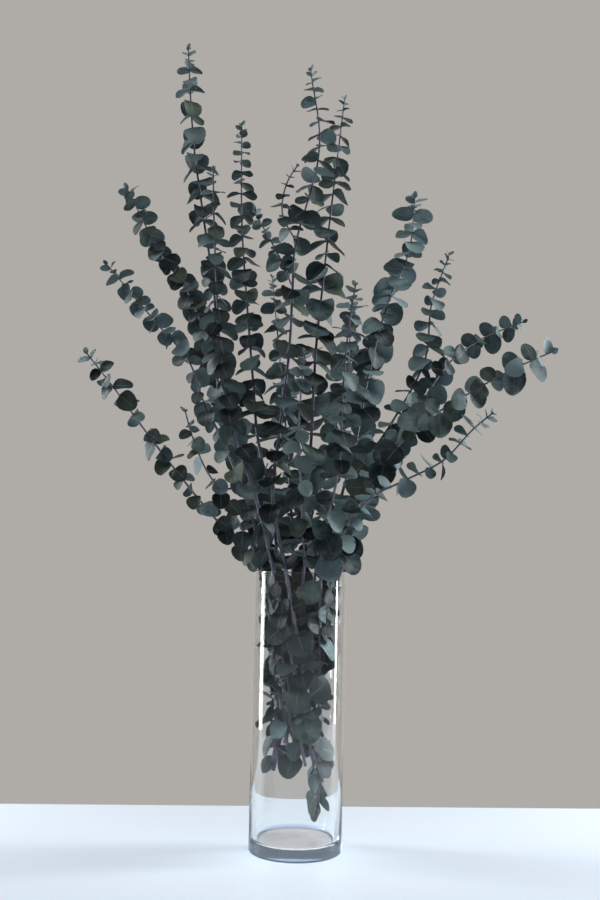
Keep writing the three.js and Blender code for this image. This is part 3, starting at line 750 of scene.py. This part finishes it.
def add_leaves(surface, frames, thing, far, paler):
    """Closed leaf blades, all at once.

    A blade is a grid of rows along the midrib and columns from margin to margin, upper face and
    lower face, that closes to a point at root and tip. Its height is the cup across plus the arch
    along plus a slow wave of the margin, and it thins towards the margin as a half circle does.
    """
    root, midrib, breadth, normal, size = frames
    count, rows, columns = len(size), len(LEAF_ROWS), len(LEAF_COLUMNS)
    over = np.concatenate([LEAF_COLUMNS, LEAF_COLUMNS[-2:0:-1]])
    face = np.concatenate([np.ones(columns), -np.ones(columns - 2)])
    loop = len(over)
    along = LEAF_ROWS[None, :, None]
    broad = (1 - (1 - YOUNG_WIDTH) * np.exp(-far / YOUNG_REACH))[:, None, None]
    aside = half_width(LEAF_ROWS)[:, None] * over[None] * broad
    cup = (1 + jitter(thing, CUP, CUP_SPREAD))[:, None, None]
    arch = (1 + jitter(thing, ARCH, ARCH_SPREAD))[:, None, None]
    wave = jitter(thing, WAVE, WAVE_SPREAD)[:, None, None]
    turn = 2 * np.pi * draw(thing, TONE)[:, None, None]
    height = LEAF_CUP * cup * (2 * aside / LEAF_WIDTH) ** 2 - LEAF_ARCH * arch * along**2
    height = height + wave * np.sin(WAVE_ALONG * along + turn + WAVE_ACROSS * over) * np.abs(over)
    thick = LEAF_THICKNESS / 2 * np.sqrt(1 - over**2) * face
    axes = [part[:, None, None] for part in (midrib, breadth, normal)]
    long = size[:, None, None, None]
    grid = root[:, None, None] + axes[0] * (LEAF_ROWS[:, None, None] * long)
    grid = grid + axes[1] * (aside[..., None] * long)
    grid = grid + axes[2] * ((height * size[:, None, None] + thick)[..., None])
    ends = np.stack([
        root - midrib * ROOT_SUNK,
        root + (midrib - normal * (LEAF_ARCH * arch[:, 0])) * size[:, None],
    ], axis=1)
    points = np.concatenate([grid.reshape(count, -1, 3), ends], axis=1)
    per_point = points.shape[1]
    start = np.arange(count)[:, None, None, None] * per_point
    quads, fans = closed_faces(rows, loop)
    length = np.concatenate([np.repeat(LEAF_ROWS, loop), [0, 1]])
    width = np.concatenate([np.tile((over + 1) / 2, rows), [0.5, 0.5]])
    grain = np.stack([length, width], axis=1)
    below = np.where(np.arange(loop) < columns - 1, 0.0, 1.0)
    margin = np.concatenate([np.tile(np.abs(over) == 1, rows), [True, True]])
    # Painted shade: the leaves inside the vase are darkened and lose bloom, for the shade inside the
    # glass
    in_vase_shade = np.where(root[:, 2] < VASE_HEIGHT, 1.0, 0.0)
    surface.add(
        points.reshape(-1, 3),
        [(quads[None] + start).reshape(-1, 4), (fans[None] + start).reshape(-1, 3)],
        [np.tile(grain[quads.reshape(-1, 4)], (count, 1, 1)),
         np.tile(grain[fans.reshape(-1, 3)], (count, 1, 1))],
        LEAF_SLOT,
        np.tile(margin, count),
        [np.tile(below, count * (rows - 1)), np.tile(below, count * 2)],
        tone=np.repeat(draw(thing, TONE) * (1 - VASE_SHADE_TONE * in_vase_shade), per_point),
        bloom=np.repeat(draw(thing, BLOOM) + paler - VASE_SHADE_BLOOM * in_vase_shade, per_point),
        age=np.repeat(1 - np.exp(-far / LEAF_AGE_REACH), per_point),
    )


def add_stem(surface, stem):
    """A round stem: rings square to its walk, swollen where each pair of leaves sits."""
    pairs = stem.pairs_at
    between = (pairs[:-1] + pairs[1:]) / 2
    bare = np.arange(pairs[-1] + BARE_FROM, stem.walk.length, BARE_STEP)
    joints = [pairs - NODE_REACH, pairs, pairs + NODE_REACH]
    down = np.concatenate([[TIP_RING], *joints, between, bare, [stem.walk.length]])
    down = np.unique(down[(down > 0) & (down <= stem.walk.length)])
    gap = np.abs(down[:, None] - pairs[None]).min(axis=1)
    radius = stem_radius(down) * ROUND_SHARE * (1 + NODE_SWELL * np.exp(-((gap / NODE_REACH) ** 2)))
    first, second = across(stem.walk.along(down))
    turn = np.arange(STEM_SIDES) / STEM_SIDES
    angle = 2 * np.pi * turn
    ring = first[:, None] * np.cos(angle)[:, None] + second[:, None] * np.sin(angle)[:, None]
    grid = stem.walk.at(down)[:, None] + ring * radius[:, None, None]
    ends = stem.walk.at(np.array([0.0, stem.walk.length]))
    points = np.concatenate([grid.reshape(-1, 3), ends])
    quads, fans = closed_faces(len(down), STEM_SIDES)
    quads, fans = quads.reshape(-1, 4), fans.reshape(-1, 3)
    far = np.concatenate([np.repeat(down, STEM_SIDES), [0, stem.walk.length]])
    around = np.concatenate([np.tile(turn, len(down)), [0.5, 0.5]])
    grain = np.stack([far / GRAIN_LENGTH, around], axis=1)
    joint = np.exp(-((gap / JOINT_REACH) ** 2))
    surface.add(
        points,
        [quads, fans],
        [grain[quads], grain[fans]],
        BARK_SLOT,
        np.zeros(len(points), bool),
        [np.zeros(len(quads)), np.zeros(len(fans))],
        tone=0.5,
        bloom=np.concatenate([np.repeat(joint, STEM_SIDES), [0, 0]]),
        age=1 - np.exp(-far / BARK_AGE_REACH),
    )


class Shade:
    """A socket of a shader tree. Arithmetic on it adds Math nodes, and node() any other node."""

    def __init__(self, tree, socket=None):
        self.tree = tree
        self.socket = socket

    def node(self, kind, settings=None, values=None, output=0):
        """Adds a node: its settings are set first, then the values or links of its sockets."""
        made = self.tree.nodes.new(kind)
        for key, value in (settings or {}).items():
            setattr(made, key, value)
        for key, value in (values or {}).items():
            if isinstance(value, Shade):
                self.tree.links.new(value.socket, made.inputs[key])
            else:
                made.inputs[key].default_value = value
        return Shade(self.tree, made.outputs[output] if len(made.outputs) else None)

    def maths(self, operation, *terms):
        """A Math node on values."""
        return self.node("ShaderNodeMath", {"operation": operation}, dict(enumerate(terms)))

    def __add__(self, other):
        return self.maths("ADD", self, other)

    def __radd__(self, other):
        return self.maths("ADD", other, self)

    def __sub__(self, other):
        return self.maths("SUBTRACT", self, other)

    def __rsub__(self, other):
        return self.maths("SUBTRACT", other, self)

    def __mul__(self, other):
        return self.maths("MULTIPLY", self, other)

    def __pow__(self, other):
        return self.maths("POWER", self, other)

    def __abs__(self):
        return self.maths("ABSOLUTE", self)

    def sine(self):
        """Its sine."""
        return self.maths("SINE", self)

    def ramp(self, low, high):
        """A smooth step from 0 at low to 1 at high."""
        values = {"Value": self, "From Min": low, "From Max": high}
        return self.node("ShaderNodeMapRange", {"interpolation_type": "SMOOTHSTEP"}, values)

    def blend(self, below, above):
        """A colour between two, with this value as the share of the second."""
        def colour(value):
            return value if isinstance(value, Shade) else (*value[:3], 1.0)

        values = {0: self, 6: colour(below), 7: colour(above)}
        return self.node("ShaderNodeMix", {"data_type": "RGBA"}, values, 2)


def new_material(name):
    """A material with an empty tree, and the start of its shading."""
    material = bpy.data.materials.new(name)
    material.use_nodes = True
    material.node_tree.nodes.clear()
    return material, Shade(material.node_tree)


def value_of(start, name):
    """A point or face value of the mesh."""
    return start.node("ShaderNodeAttribute", {"attribute_name": name}, output="Fac")


def noise_on(start, vector, scale, detail, rough):
    """Noise from 0 to 1."""
    values = {"Vector": vector, "Scale": scale, "Detail": detail, "Roughness": rough}
    return start.node("ShaderNodeTexNoise", {}, values)


def leaf_material(props):
    """Waxy eucalyptus leaf: dark blue-green, mottled, with a pale bloom, a midrib and fine veins."""
    material, start = new_material("eucalyptus_leaf")
    place = start.node("ShaderNodeTexCoord", output="Object")
    grain = start.node("ShaderNodeUVMap", {"uv_map": "GrainUV"})
    long = start.node("ShaderNodeSeparateXYZ", {}, {"Vector": grain}, "X")
    wide = start.node("ShaderNodeSeparateXYZ", {}, {"Vector": grain}, "Y")
    aside = abs(wide - 0.5) * 2.0
    tone, bloom, under, age = (value_of(start, key) for key in ("tone", "bloom", "under", "age"))
    patches = noise_on(start, place, *LEAF_PATCHES)
    mottle = noise_on(start, place, *LEAF_MOTTLE)
    lightness = (tone * BLADE_TONE + patches * BLADE_PATCHES - BLADE_DROP).ramp(*BLADE_STEP)
    light = tone.ramp(*OLIVE_STEP).blend(props.leaf_light, props.leaf_olive)
    colour = lightness.blend(props.leaf_dark, light)
    wax = bloom * WAX_OWN + patches * WAX_PATCHES + mottle * WAX_MOTTLE - age * WAX_AGE
    colour = (wax.ramp(*WAX_STEP) * props.bloom_share).blend(colour, props.leaf_bloom)
    colour = (under * UNDER_SHARE).blend(colour, props.leaf_under)
    rib = (1.0 - aside.ramp(*RIB_STEP)) * (1.0 - long.ramp(*RIB_END) * RIB_FADE)
    wander = noise_on(start, place, *LEAF_WANDER) * VEIN_WANDER
    wave = ((long * VEINS - aside * VEIN_SLANT + wander) * math.tau).sine()
    vein = (wave * 0.5 + 0.5) ** VEIN_FINENESS * (1.0 - aside.ramp(*VEIN_END))
    margin = aside.ramp(*MARGIN_STEP)
    pale = rib * PALE_RIB + vein * PALE_VEINS + margin * PALE_MARGIN
    colour = pale.blend(colour, props.leaf_vein)
    spots = noise_on(start, place, *LEAF_SPOTS).ramp(*SPOT_STEP) * SPOT_SHARE
    colour = spots.blend(colour, props.leaf_spot)
    rough = LEAF_ROUGH + mottle * ROUGH_MOTTLE - rib * ROUGH_RIB
    relief = rib * RELIEF_RIB + vein * RELIEF_VEINS + mottle * RELIEF_MOTTLE
    bump = start.node("ShaderNodeBump", {}, {**LEAF_BUMP, "Height": relief})
    shader = start.node("ShaderNodeBsdfPrincipled", {}, {
        "Base Color": colour, "Roughness": rough, "Normal": bump, **LEAF_SHEEN,
    })
    start.node("ShaderNodeOutputMaterial", {}, {"Surface": shader})
    return material


def stem_material(props):
    """Thin bark: purple-grey with streaks along it, paler at the joints and duller near the tip."""
    material, start = new_material("eucalyptus_stem")
    place = start.node("ShaderNodeTexCoord", output="Object")
    grain = start.node("ShaderNodeUVMap", {"uv_map": "GrainUV"})
    stretch = start.node("ShaderNodeMapping", {}, {"Vector": grain, "Scale": BARK_STRETCH})
    streaks = noise_on(start, stretch, *BARK_STREAKS)
    patches = noise_on(start, place, *BARK_PATCHES)
    fleck = noise_on(start, place, *BARK_FLECKS)
    joint, age = value_of(start, "bloom"), value_of(start, "age")
    lightness = (streaks * BARK_STREAK + patches * BARK_PATCH - BARK_DROP).ramp(*BARK_STEP)
    colour = lightness.blend(props.stem_dark, props.stem_light)
    colour = (1.0 - age.ramp(*YOUNG_STEP)).blend(colour, props.stem_young)
    colour = (joint * JOINT_SHARE).blend(colour, props.stem_joint)
    rough = BARK_ROUGH + fleck * ROUGH_FLECK
    relief = streaks * RELIEF_STREAK + fleck * RELIEF_FLECK
    bump = start.node("ShaderNodeBump", {}, {**BARK_BUMP, "Height": relief})
    shader = start.node("ShaderNodeBsdfPrincipled", {}, {
        "Base Color": colour, "Roughness": rough, "Normal": bump,
    })
    start.node("ShaderNodeOutputMaterial", {}, {"Surface": shader})
    return material


def glass_material(props):
    """Clear drawn glass: fine upright streaks bend what is seen, and lamps shine through it."""
    material, start = new_material("vase_glass")
    place = start.node("ShaderNodeTexCoord", output="Object")
    upright = start.node("ShaderNodeMapping", {}, {"Vector": place, "Scale": GLASS_STRETCH})
    streaks = noise_on(start, upright, *GLASS_STREAKS)
    bump = start.node("ShaderNodeBump", {}, {**GLASS_BUMP, "Height": streaks})
    smudge = noise_on(start, place, *GLASS_SMUDGES).ramp(*SMUDGE_STEP) * SMUDGE_ROUGH
    height = start.node("ShaderNodeSeparateXYZ", {}, {"Vector": place}, "Z")
    flat = start.node("ShaderNodeMapping", {}, {"Vector": place, "Scale": FLATTENED})
    out = start.node("ShaderNodeVectorMath", {"operation": "LENGTH"}, {0: flat}, "Value")
    foot, wall = ([props.base * share for share in step] for step in (FOOT_STEP, WALL_STEP))
    # Painted shade: the rounded foot is tinted dark for the shade at the vase's bottom edge
    side = height.ramp(*foot).blend(props.foot, props.ring)
    cloud = noise_on(start, place, *GLASS_CLOUDS).ramp(*CLOUD_STEP)
    inside = cloud.blend(props.inside, [CLOUD_SHADE * c for c in props.inside])
    thick = out.ramp(*[props.radius * share for share in RING_STEP]).blend(inside, side)
    colour = height.ramp(*wall).blend(thick, props.tint)
    glass = start.node("ShaderNodeBsdfPrincipled", {}, {
        "Base Color": colour, "Roughness": smudge, "IOR": props.ior,
        "Transmission Weight": 1.0, "Normal": bump,
    })
    clear = start.node("ShaderNodeBsdfTransparent", {}, {"Color": (*props.shadow, 1.0)})
    lamps = start.node("ShaderNodeLightPath", output="Is Shadow Ray")
    mixed = start.node("ShaderNodeMixShader", {}, {0: lamps, 1: glass, 2: clear})
    start.node("ShaderNodeOutputMaterial", {}, {"Surface": mixed})
    return material


def floor_material(props):
    """Plain pale satin table top with a barely uneven tone, and a soft painted-light glow that lifts
    its shadows.
    """
    material, start = new_material("pale_floor")
    place = start.node("ShaderNodeTexCoord", output="Object")
    cloud = noise_on(start, place, *FLOOR_CLOUDS)
    colour = cloud.blend(props.floor_colour, [FLOOR_SHADE * c for c in props.floor_colour])
    shader = start.node("ShaderNodeBsdfPrincipled", {}, {
        "Base Color": colour, **FLOOR_SHEEN,
        "Emission Color": (*props.floor_painted_glow, 1.0), "Emission Strength": FLOOR_PAINTED_GLOW,
    })
    start.node("ShaderNodeOutputMaterial", {}, {"Surface": shader})
    return material


def arc(centre, radius, start, end, count):
    """Points on a part of a circle, by angles in degrees."""
    angle = np.radians(np.linspace(start, end, count))
    places = centre[0] + radius * np.cos(angle), centre[1] + radius * np.sin(angle)
    return np.stack(places, axis=1)


def vase_profile(height, radius, wall, base):
    """The glass in section from the middle of its underside, round foot and rim, to its floor."""
    inner, low, rim = radius - wall, radius - FLOOR_WALL, height - RIM_ROUND
    down = np.linspace(THICKENING_HEIGHT, base + FLOOR_ROUND + HOLD, TAPER_STEPS)
    return np.concatenate([
        [[radius * HUB_SHARE, 0.0], [radius - FOOT_ROUND - HOLD, 0.0]],
        arc((radius - FOOT_ROUND, FOOT_ROUND), FOOT_ROUND, -90, 0, FOOT_STEPS),
        [[radius, FOOT_ROUND + HOLD], [radius, height / 2], [radius, rim - HOLD]],
        arc((radius - RIM_ROUND, rim), RIM_ROUND, 0, 90, RIM_STEPS),
        arc((inner + RIM_ROUND, rim), RIM_ROUND, 90, 180, RIM_STEPS),
        [[inner, rim - HOLD], [inner, height / 2]],
        np.stack([radius - wall_at(down, wall, base), down], axis=1),
        arc((low - FLOOR_ROUND, base + FLOOR_ROUND), FLOOR_ROUND, 0, -90, FOOT_STEPS),
        [[low - FLOOR_ROUND - HOLD, base], [radius * HUB_SHARE, base]],
    ])


def turned(profile, bottom, top, sides):
    """A profile turned about Z, closed at the axis by a fan at each end: (points, faces)."""
    angle = 2 * np.pi * np.arange(sides) / sides
    out, up = profile[:, 0, None], profile[:, 1, None]
    grid = np.stack(np.broadcast_arrays(out * np.cos(angle), out * np.sin(angle), up), axis=-1)
    points = np.concatenate([grid.reshape(-1, 3), [[0, 0, bottom], [0, 0, top]]])
    quads, fans = closed_faces(len(profile), sides)
    outward = np.roll(quads[..., ::-1], 1, axis=-1).reshape(-1, 4)
    return points, outward.tolist() + fans[..., [0, 2, 1]].reshape(-1, 3).tolist()


def place_piece(name, mesh, node, slot, *materials):
    """Links a finished piece, which rides on the one body and stands for its node."""
    for material in materials:
        mesh.materials.append(material)
    piece = bpy.data.objects.new(name, mesh)
    bpy.context.scene.collection.objects.link(piece)
    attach(piece, "root")
    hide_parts(node)


def colour_property(name, description, default):
    """A colour that the user can change."""
    return bpy.props.FloatVectorProperty(
        name=name, description=description, default=default, subtype="COLOR", min=0.0, max=1.0
    )


def number_property(name, description, default, **kind):
    """A number that the user can change: a length, an angle, a share or a plain one."""
    return bpy.props.FloatProperty(name=name, description=description, default=default, **kind)


class VaseProperties(bpy.types.PropertyGroup):
    """Sizes and tint of the glass vase."""

    height: number_property("Height", "Height of the vase", VASE_HEIGHT * MM, unit="LENGTH")
    radius: number_property("Radius", "Outer radius", VASE_RADIUS * MM, unit="LENGTH")
    wall: number_property("Wall", "Thickness of the wall", GLASS_WALL * MM, unit="LENGTH")
    base: number_property("Base", "Thickness of the base", GLASS_BASE * MM, unit="LENGTH")
    sides: bpy.props.IntProperty(
        name="Sides", description="Faces round the glass", default=128, min=24
    )
    ior: number_property("IOR", "How far the glass bends light", 1.45)
    tint: colour_property("Tint", "Colour of the glass", (0.97, 0.985, 0.985))
    inside: colour_property("Floor", "Colour of the floor in the vase", (0.75, 0.665, 0.635))
    ring: colour_property("Ring", "Colour of the thick base from the side", (0.5, 0.66, 0.88))
    # Painted shade: the foot's dark tint stands in for the shade at the vase's bottom edge
    foot: colour_property("Foot", "Colour of the rounded foot", (0.2, 0.25, 0.33))
    shadow: colour_property("Shadow", "What the glass lets through to lamps", (0.9, 0.93, 0.94))


class FoliageProperties(bpy.types.PropertyGroup):
    """Colours of leaves and stems."""

    leaf_dark: colour_property("Leaf dark", "Darkest blade", (0.0075, 0.0125, 0.013))
    leaf_light: colour_property("Leaf light", "Lightest blade", (0.055, 0.085, 0.084))
    leaf_olive: colour_property("Leaf olive", "Lightest blade of a greener leaf", (0.068, 0.092, 0.064))
    leaf_bloom: colour_property("Bloom", "Pale wax on the blade", (0.24, 0.345, 0.358))
    leaf_under: colour_property("Underside", "Underside of the blade", (0.068, 0.105, 0.11))
    leaf_vein: colour_property("Veins", "Midrib, veins and margin", (0.16, 0.19, 0.185))
    leaf_spot: colour_property("Spots", "Oil glands and blemishes", (0.015, 0.018, 0.016))
    bloom_share: number_property("Bloom share", "How thick the pale wax lies", 0.68, subtype="FACTOR")
    stem_dark: colour_property("Stem dark", "Dark streaks of the bark", (0.032, 0.028, 0.042))
    stem_light: colour_property("Stem light", "Light streaks of the bark", (0.2, 0.185, 0.265))
    stem_young: colour_property("Young stem", "Stem near the tip", (0.075, 0.072, 0.088))
    stem_joint: colour_property("Joints", "Stem where leaves sit", (0.2, 0.22, 0.23))


class StageProperties(bpy.types.PropertyGroup):
    """Floor, lights and camera."""

    floor_colour: colour_property("Floor", "Pale floor", (0.62, 0.66, 0.69))
    # Painted light: the colour that the floor glows with, lifting its shadows
    floor_painted_glow: colour_property("Glow", "Light from the floor itself", (0.66, 0.76, 0.98))
    floor_back: number_property("Floor end", "How far the floor runs behind", 0.1956, unit="LENGTH")
    floor_turn: number_property(
        "Floor turn", "How far the floor's back edge is turned", math.radians(2.7), subtype="ANGLE"
    )
    surround: colour_property("Surround", "Plain warm surround", (0.43, 0.41, 0.385))
    ambient: number_property(
        "Ambient", "Share of the surround that lights the bunch", 0.3, subtype="FACTOR"
    )
    camera_place: bpy.props.FloatVectorProperty(
        name="Camera", description="Place of the camera", default=(-0.002939, -1.35508, 0.374594),
        subtype="TRANSLATION",
    )
    camera_rise: number_property(
        "Rise", "How far the camera looks up", math.radians(2.3196), subtype="ANGLE"
    )
    camera_roll: number_property(
        "Roll", "How far the camera is rolled", math.radians(1.1339), subtype="ANGLE"
    )
    lens: number_property("Lens", "Focal length in mm", 50.0)


class EUCALYPTUS_OT_vase(bpy.types.Operator):
    """Makes the glass vase as a turned wall with rounded rim and foot"""

    bl_idname = "eucalyptus.vase"
    bl_label = "Vase"

    def execute(self, context):
        props = context.scene.eucalyptus_vase
        sizes = [getattr(props, key) / MM for key in ("height", "radius", "wall", "base")]
        points, faces = turned(vase_profile(*sizes), 0.0, sizes[3], props.sides)
        mesh = bpy.data.meshes.new("glass_vase")
        mesh.from_pydata((points * MM).tolist(), [], faces)
        mesh.update(calc_edges=True)
        mesh.polygons.foreach_set("use_smooth", np.ones(len(faces), bool))
        place_piece("glass_vase", mesh, "vase", "glass", glass_material(props))
        return {"FINISHED"}


class EUCALYPTUS_OT_branches(bpy.types.Operator):
    """Makes every branch: its round stems and all its leaves"""

    bl_idname = "eucalyptus.branches"
    bl_label = "Branches"

    def execute(self, context):
        props = context.scene.eucalyptus_foliage
        leaf, bark = leaf_material(props), stem_material(props)
        stems = grown_stems()
        chosen = settled_leaves(stems)
        for number, row in enumerate(BRANCHES):
            surface = Surface()
            for (branch, stem), stance in zip(stems, chosen):
                if branch == number:
                    kept = np.flatnonzero(stance >= 0)
                    frames = stem.frames(kept, STANCES[stance[kept]])
                    paler = PALER.get(row[0], 0.0)
                    add_leaves(surface, frames, stem.thing[kept], stem.far[kept], paler)
                    add_stem(surface, stem)
            mesh = surface.mesh("foliage_" + row[0])
            place_piece("foliage_" + row[0], mesh, "branch_" + row[0], "foliage", leaf, bark)
        return {"FINISHED"}


class EUCALYPTUS_OT_stage(bpy.types.Operator):
    """Makes the pale floor, the soft lights, the plain surround and the camera"""

    bl_idname = "eucalyptus.stage"
    bl_label = "Stage"

    def execute(self, context):
        props = context.scene.eucalyptus_stage
        scene = context.scene
        self.floor(scene, props)
        for row in LIGHTS:
            self.light(scene, *row)
        scene.world = self.surround(props)
        scene.view_settings.view_transform = "Standard"
        data = bpy.data.cameras.new("camera")
        data.lens = props.lens
        data.sensor_width = FILM_WIDTH
        camera = bpy.data.objects.new("camera", data)
        camera.location = props.camera_place
        camera.rotation_mode = "ZYX"
        camera.rotation_euler = (math.pi / 2 + props.camera_rise, 0.0, props.camera_roll)
        scene.collection.objects.link(camera)
        scene.camera = camera
        return {"FINISHED"}

    def surround(self, props):
        """A plain surround, seen at its own colour, that lights the bunch less and its sheen least.

        Light that comes through the glass is as bright as the surround, less after one mirroring
        inside it and more after several, as at the glass's edges.
        """
        world = bpy.data.worlds.new("surround")
        world.use_nodes = True
        world.node_tree.nodes.clear()
        start = Shade(world.node_tree)
        through = start.node("ShaderNodeLightPath", output="Is Transmission Ray")
        seen = start.node("ShaderNodeLightPath", output="Is Camera Ray")
        bounces = start.node("ShaderNodeLightPath", output="Glossy Depth")
        mirrored, trapped = bounces.ramp(0.0, 1.0), bounces.ramp(1.0, 2.0)
        lit = (1.0 - mirrored * SHEEN_DROP) * props.ambient
        clear = through * (1.0 - mirrored * MIRROR_DROP + trapped * TRAPPED_GAIN)
        clear = seen.maths("MAXIMUM", seen, clear)
        strength = seen.maths("MAXIMUM", clear, lit)
        values = {"Color": (*props.surround, 1.0), "Strength": strength}
        start.node("ShaderNodeOutputWorld", {}, {
            "Surface": start.node("ShaderNodeBackground", {}, values),
        })
        return world

    def floor(self, scene, props):
        """A thin slab whose top lies just under the vase."""
        mesh = bpy.data.meshes.new("floor")
        x = np.array([-FLOOR_HALF, FLOOR_HALF, FLOOR_HALF, -FLOOR_HALF] * 2)
        skew = FLOOR_HALF * math.tan(props.floor_turn)
        back = props.floor_back
        y = np.array([FLOOR_FRONT, FLOOR_FRONT, back + skew, back - skew] * 2)
        z = np.repeat([-FLOOR_GAP - FLOOR_THICK, -FLOOR_GAP], 4)
        faces = [(3, 2, 1, 0), (4, 5, 6, 7), (0, 1, 5, 4), (1, 2, 6, 5), (2, 3, 7, 6), (3, 0, 4, 7)]
        mesh.from_pydata(np.stack([x, y, z], axis=1).tolist(), [], faces)
        mesh.materials.append(floor_material(props))
        floor = bpy.data.objects.new("floor", mesh)
        scene.collection.objects.link(floor)

    def light(self, scene, name, place, size, power, colour, aim, inner, lights):
        """A soft rectangular light that looks at a height of the vase's axis.

        It shines back from the outer side of the glass, and if asked from its inner side too. One
        that doesn't light is seen only in what shines.
        """
        data = bpy.data.lights.new(name, "AREA")
        data.shape = "RECTANGLE"
        data.size, data.size_y = size
        data.energy = power
        data.color = colour
        lamp = bpy.data.objects.new(name, data)
        lamp.location = place
        way = np.array([0.0, 0.0, aim]) - np.array(place)
        flat = math.hypot(way[0], way[1])
        lamp.rotation_euler = (math.atan2(flat, -way[2]), 0.0, math.atan2(-way[0], way[1]))
        lamp.visible_camera = False
        lamp.visible_transmission = inner
        lamp.visible_diffuse = lights
        scene.collection.objects.link(lamp)


class EUCALYPTUS_PT_panel(bpy.types.Panel):
    """Lists the operators and what they read"""

    bl_label = "Eucalyptus"
    bl_idname = "EUCALYPTUS_PT_panel"
    bl_space_type = "VIEW_3D"
    bl_region_type = "UI"
    bl_category = "Eucalyptus"

    def draw(self, context):
        for operator, group in OPERATORS:
            self.layout.operator(operator)
            props = getattr(context.scene, group)
            for key in props.__annotations__:
                self.layout.prop(props, key)


OPERATORS = (
    ("eucalyptus.stage", "eucalyptus_stage"),
    ("eucalyptus.vase", "eucalyptus_vase"),
    ("eucalyptus.branches", "eucalyptus_foliage"),
)
GROUPS = {
    "eucalyptus_stage": StageProperties,
    "eucalyptus_vase": VaseProperties,
    "eucalyptus_foliage": FoliageProperties,
}
CLASSES = (
    VaseProperties,
    FoliageProperties,
    StageProperties,
    EUCALYPTUS_OT_vase,
    EUCALYPTUS_OT_branches,
    EUCALYPTUS_OT_stage,
    EUCALYPTUS_PT_panel,
)


def register():
    """Registers the classes and hangs their values on the scene."""
    for one in CLASSES:
        bpy.utils.register_class(one)
    for name, group in GROUPS.items():
        setattr(bpy.types.Scene, name, bpy.props.PointerProperty(type=group))


def unregister():
    """Takes the values off the scene and the classes out."""
    for name in GROUPS:
        delattr(bpy.types.Scene, name)
    for one in reversed(CLASSES):
        bpy.utils.unregister_class(one)


def main():
    """Makes the stage, the vase and the branches."""
    register()
    bpy.ops.eucalyptus.stage()
    bpy.ops.eucalyptus.vase()
    bpy.ops.eucalyptus.branches()


if __name__ == "__main__":
    main()
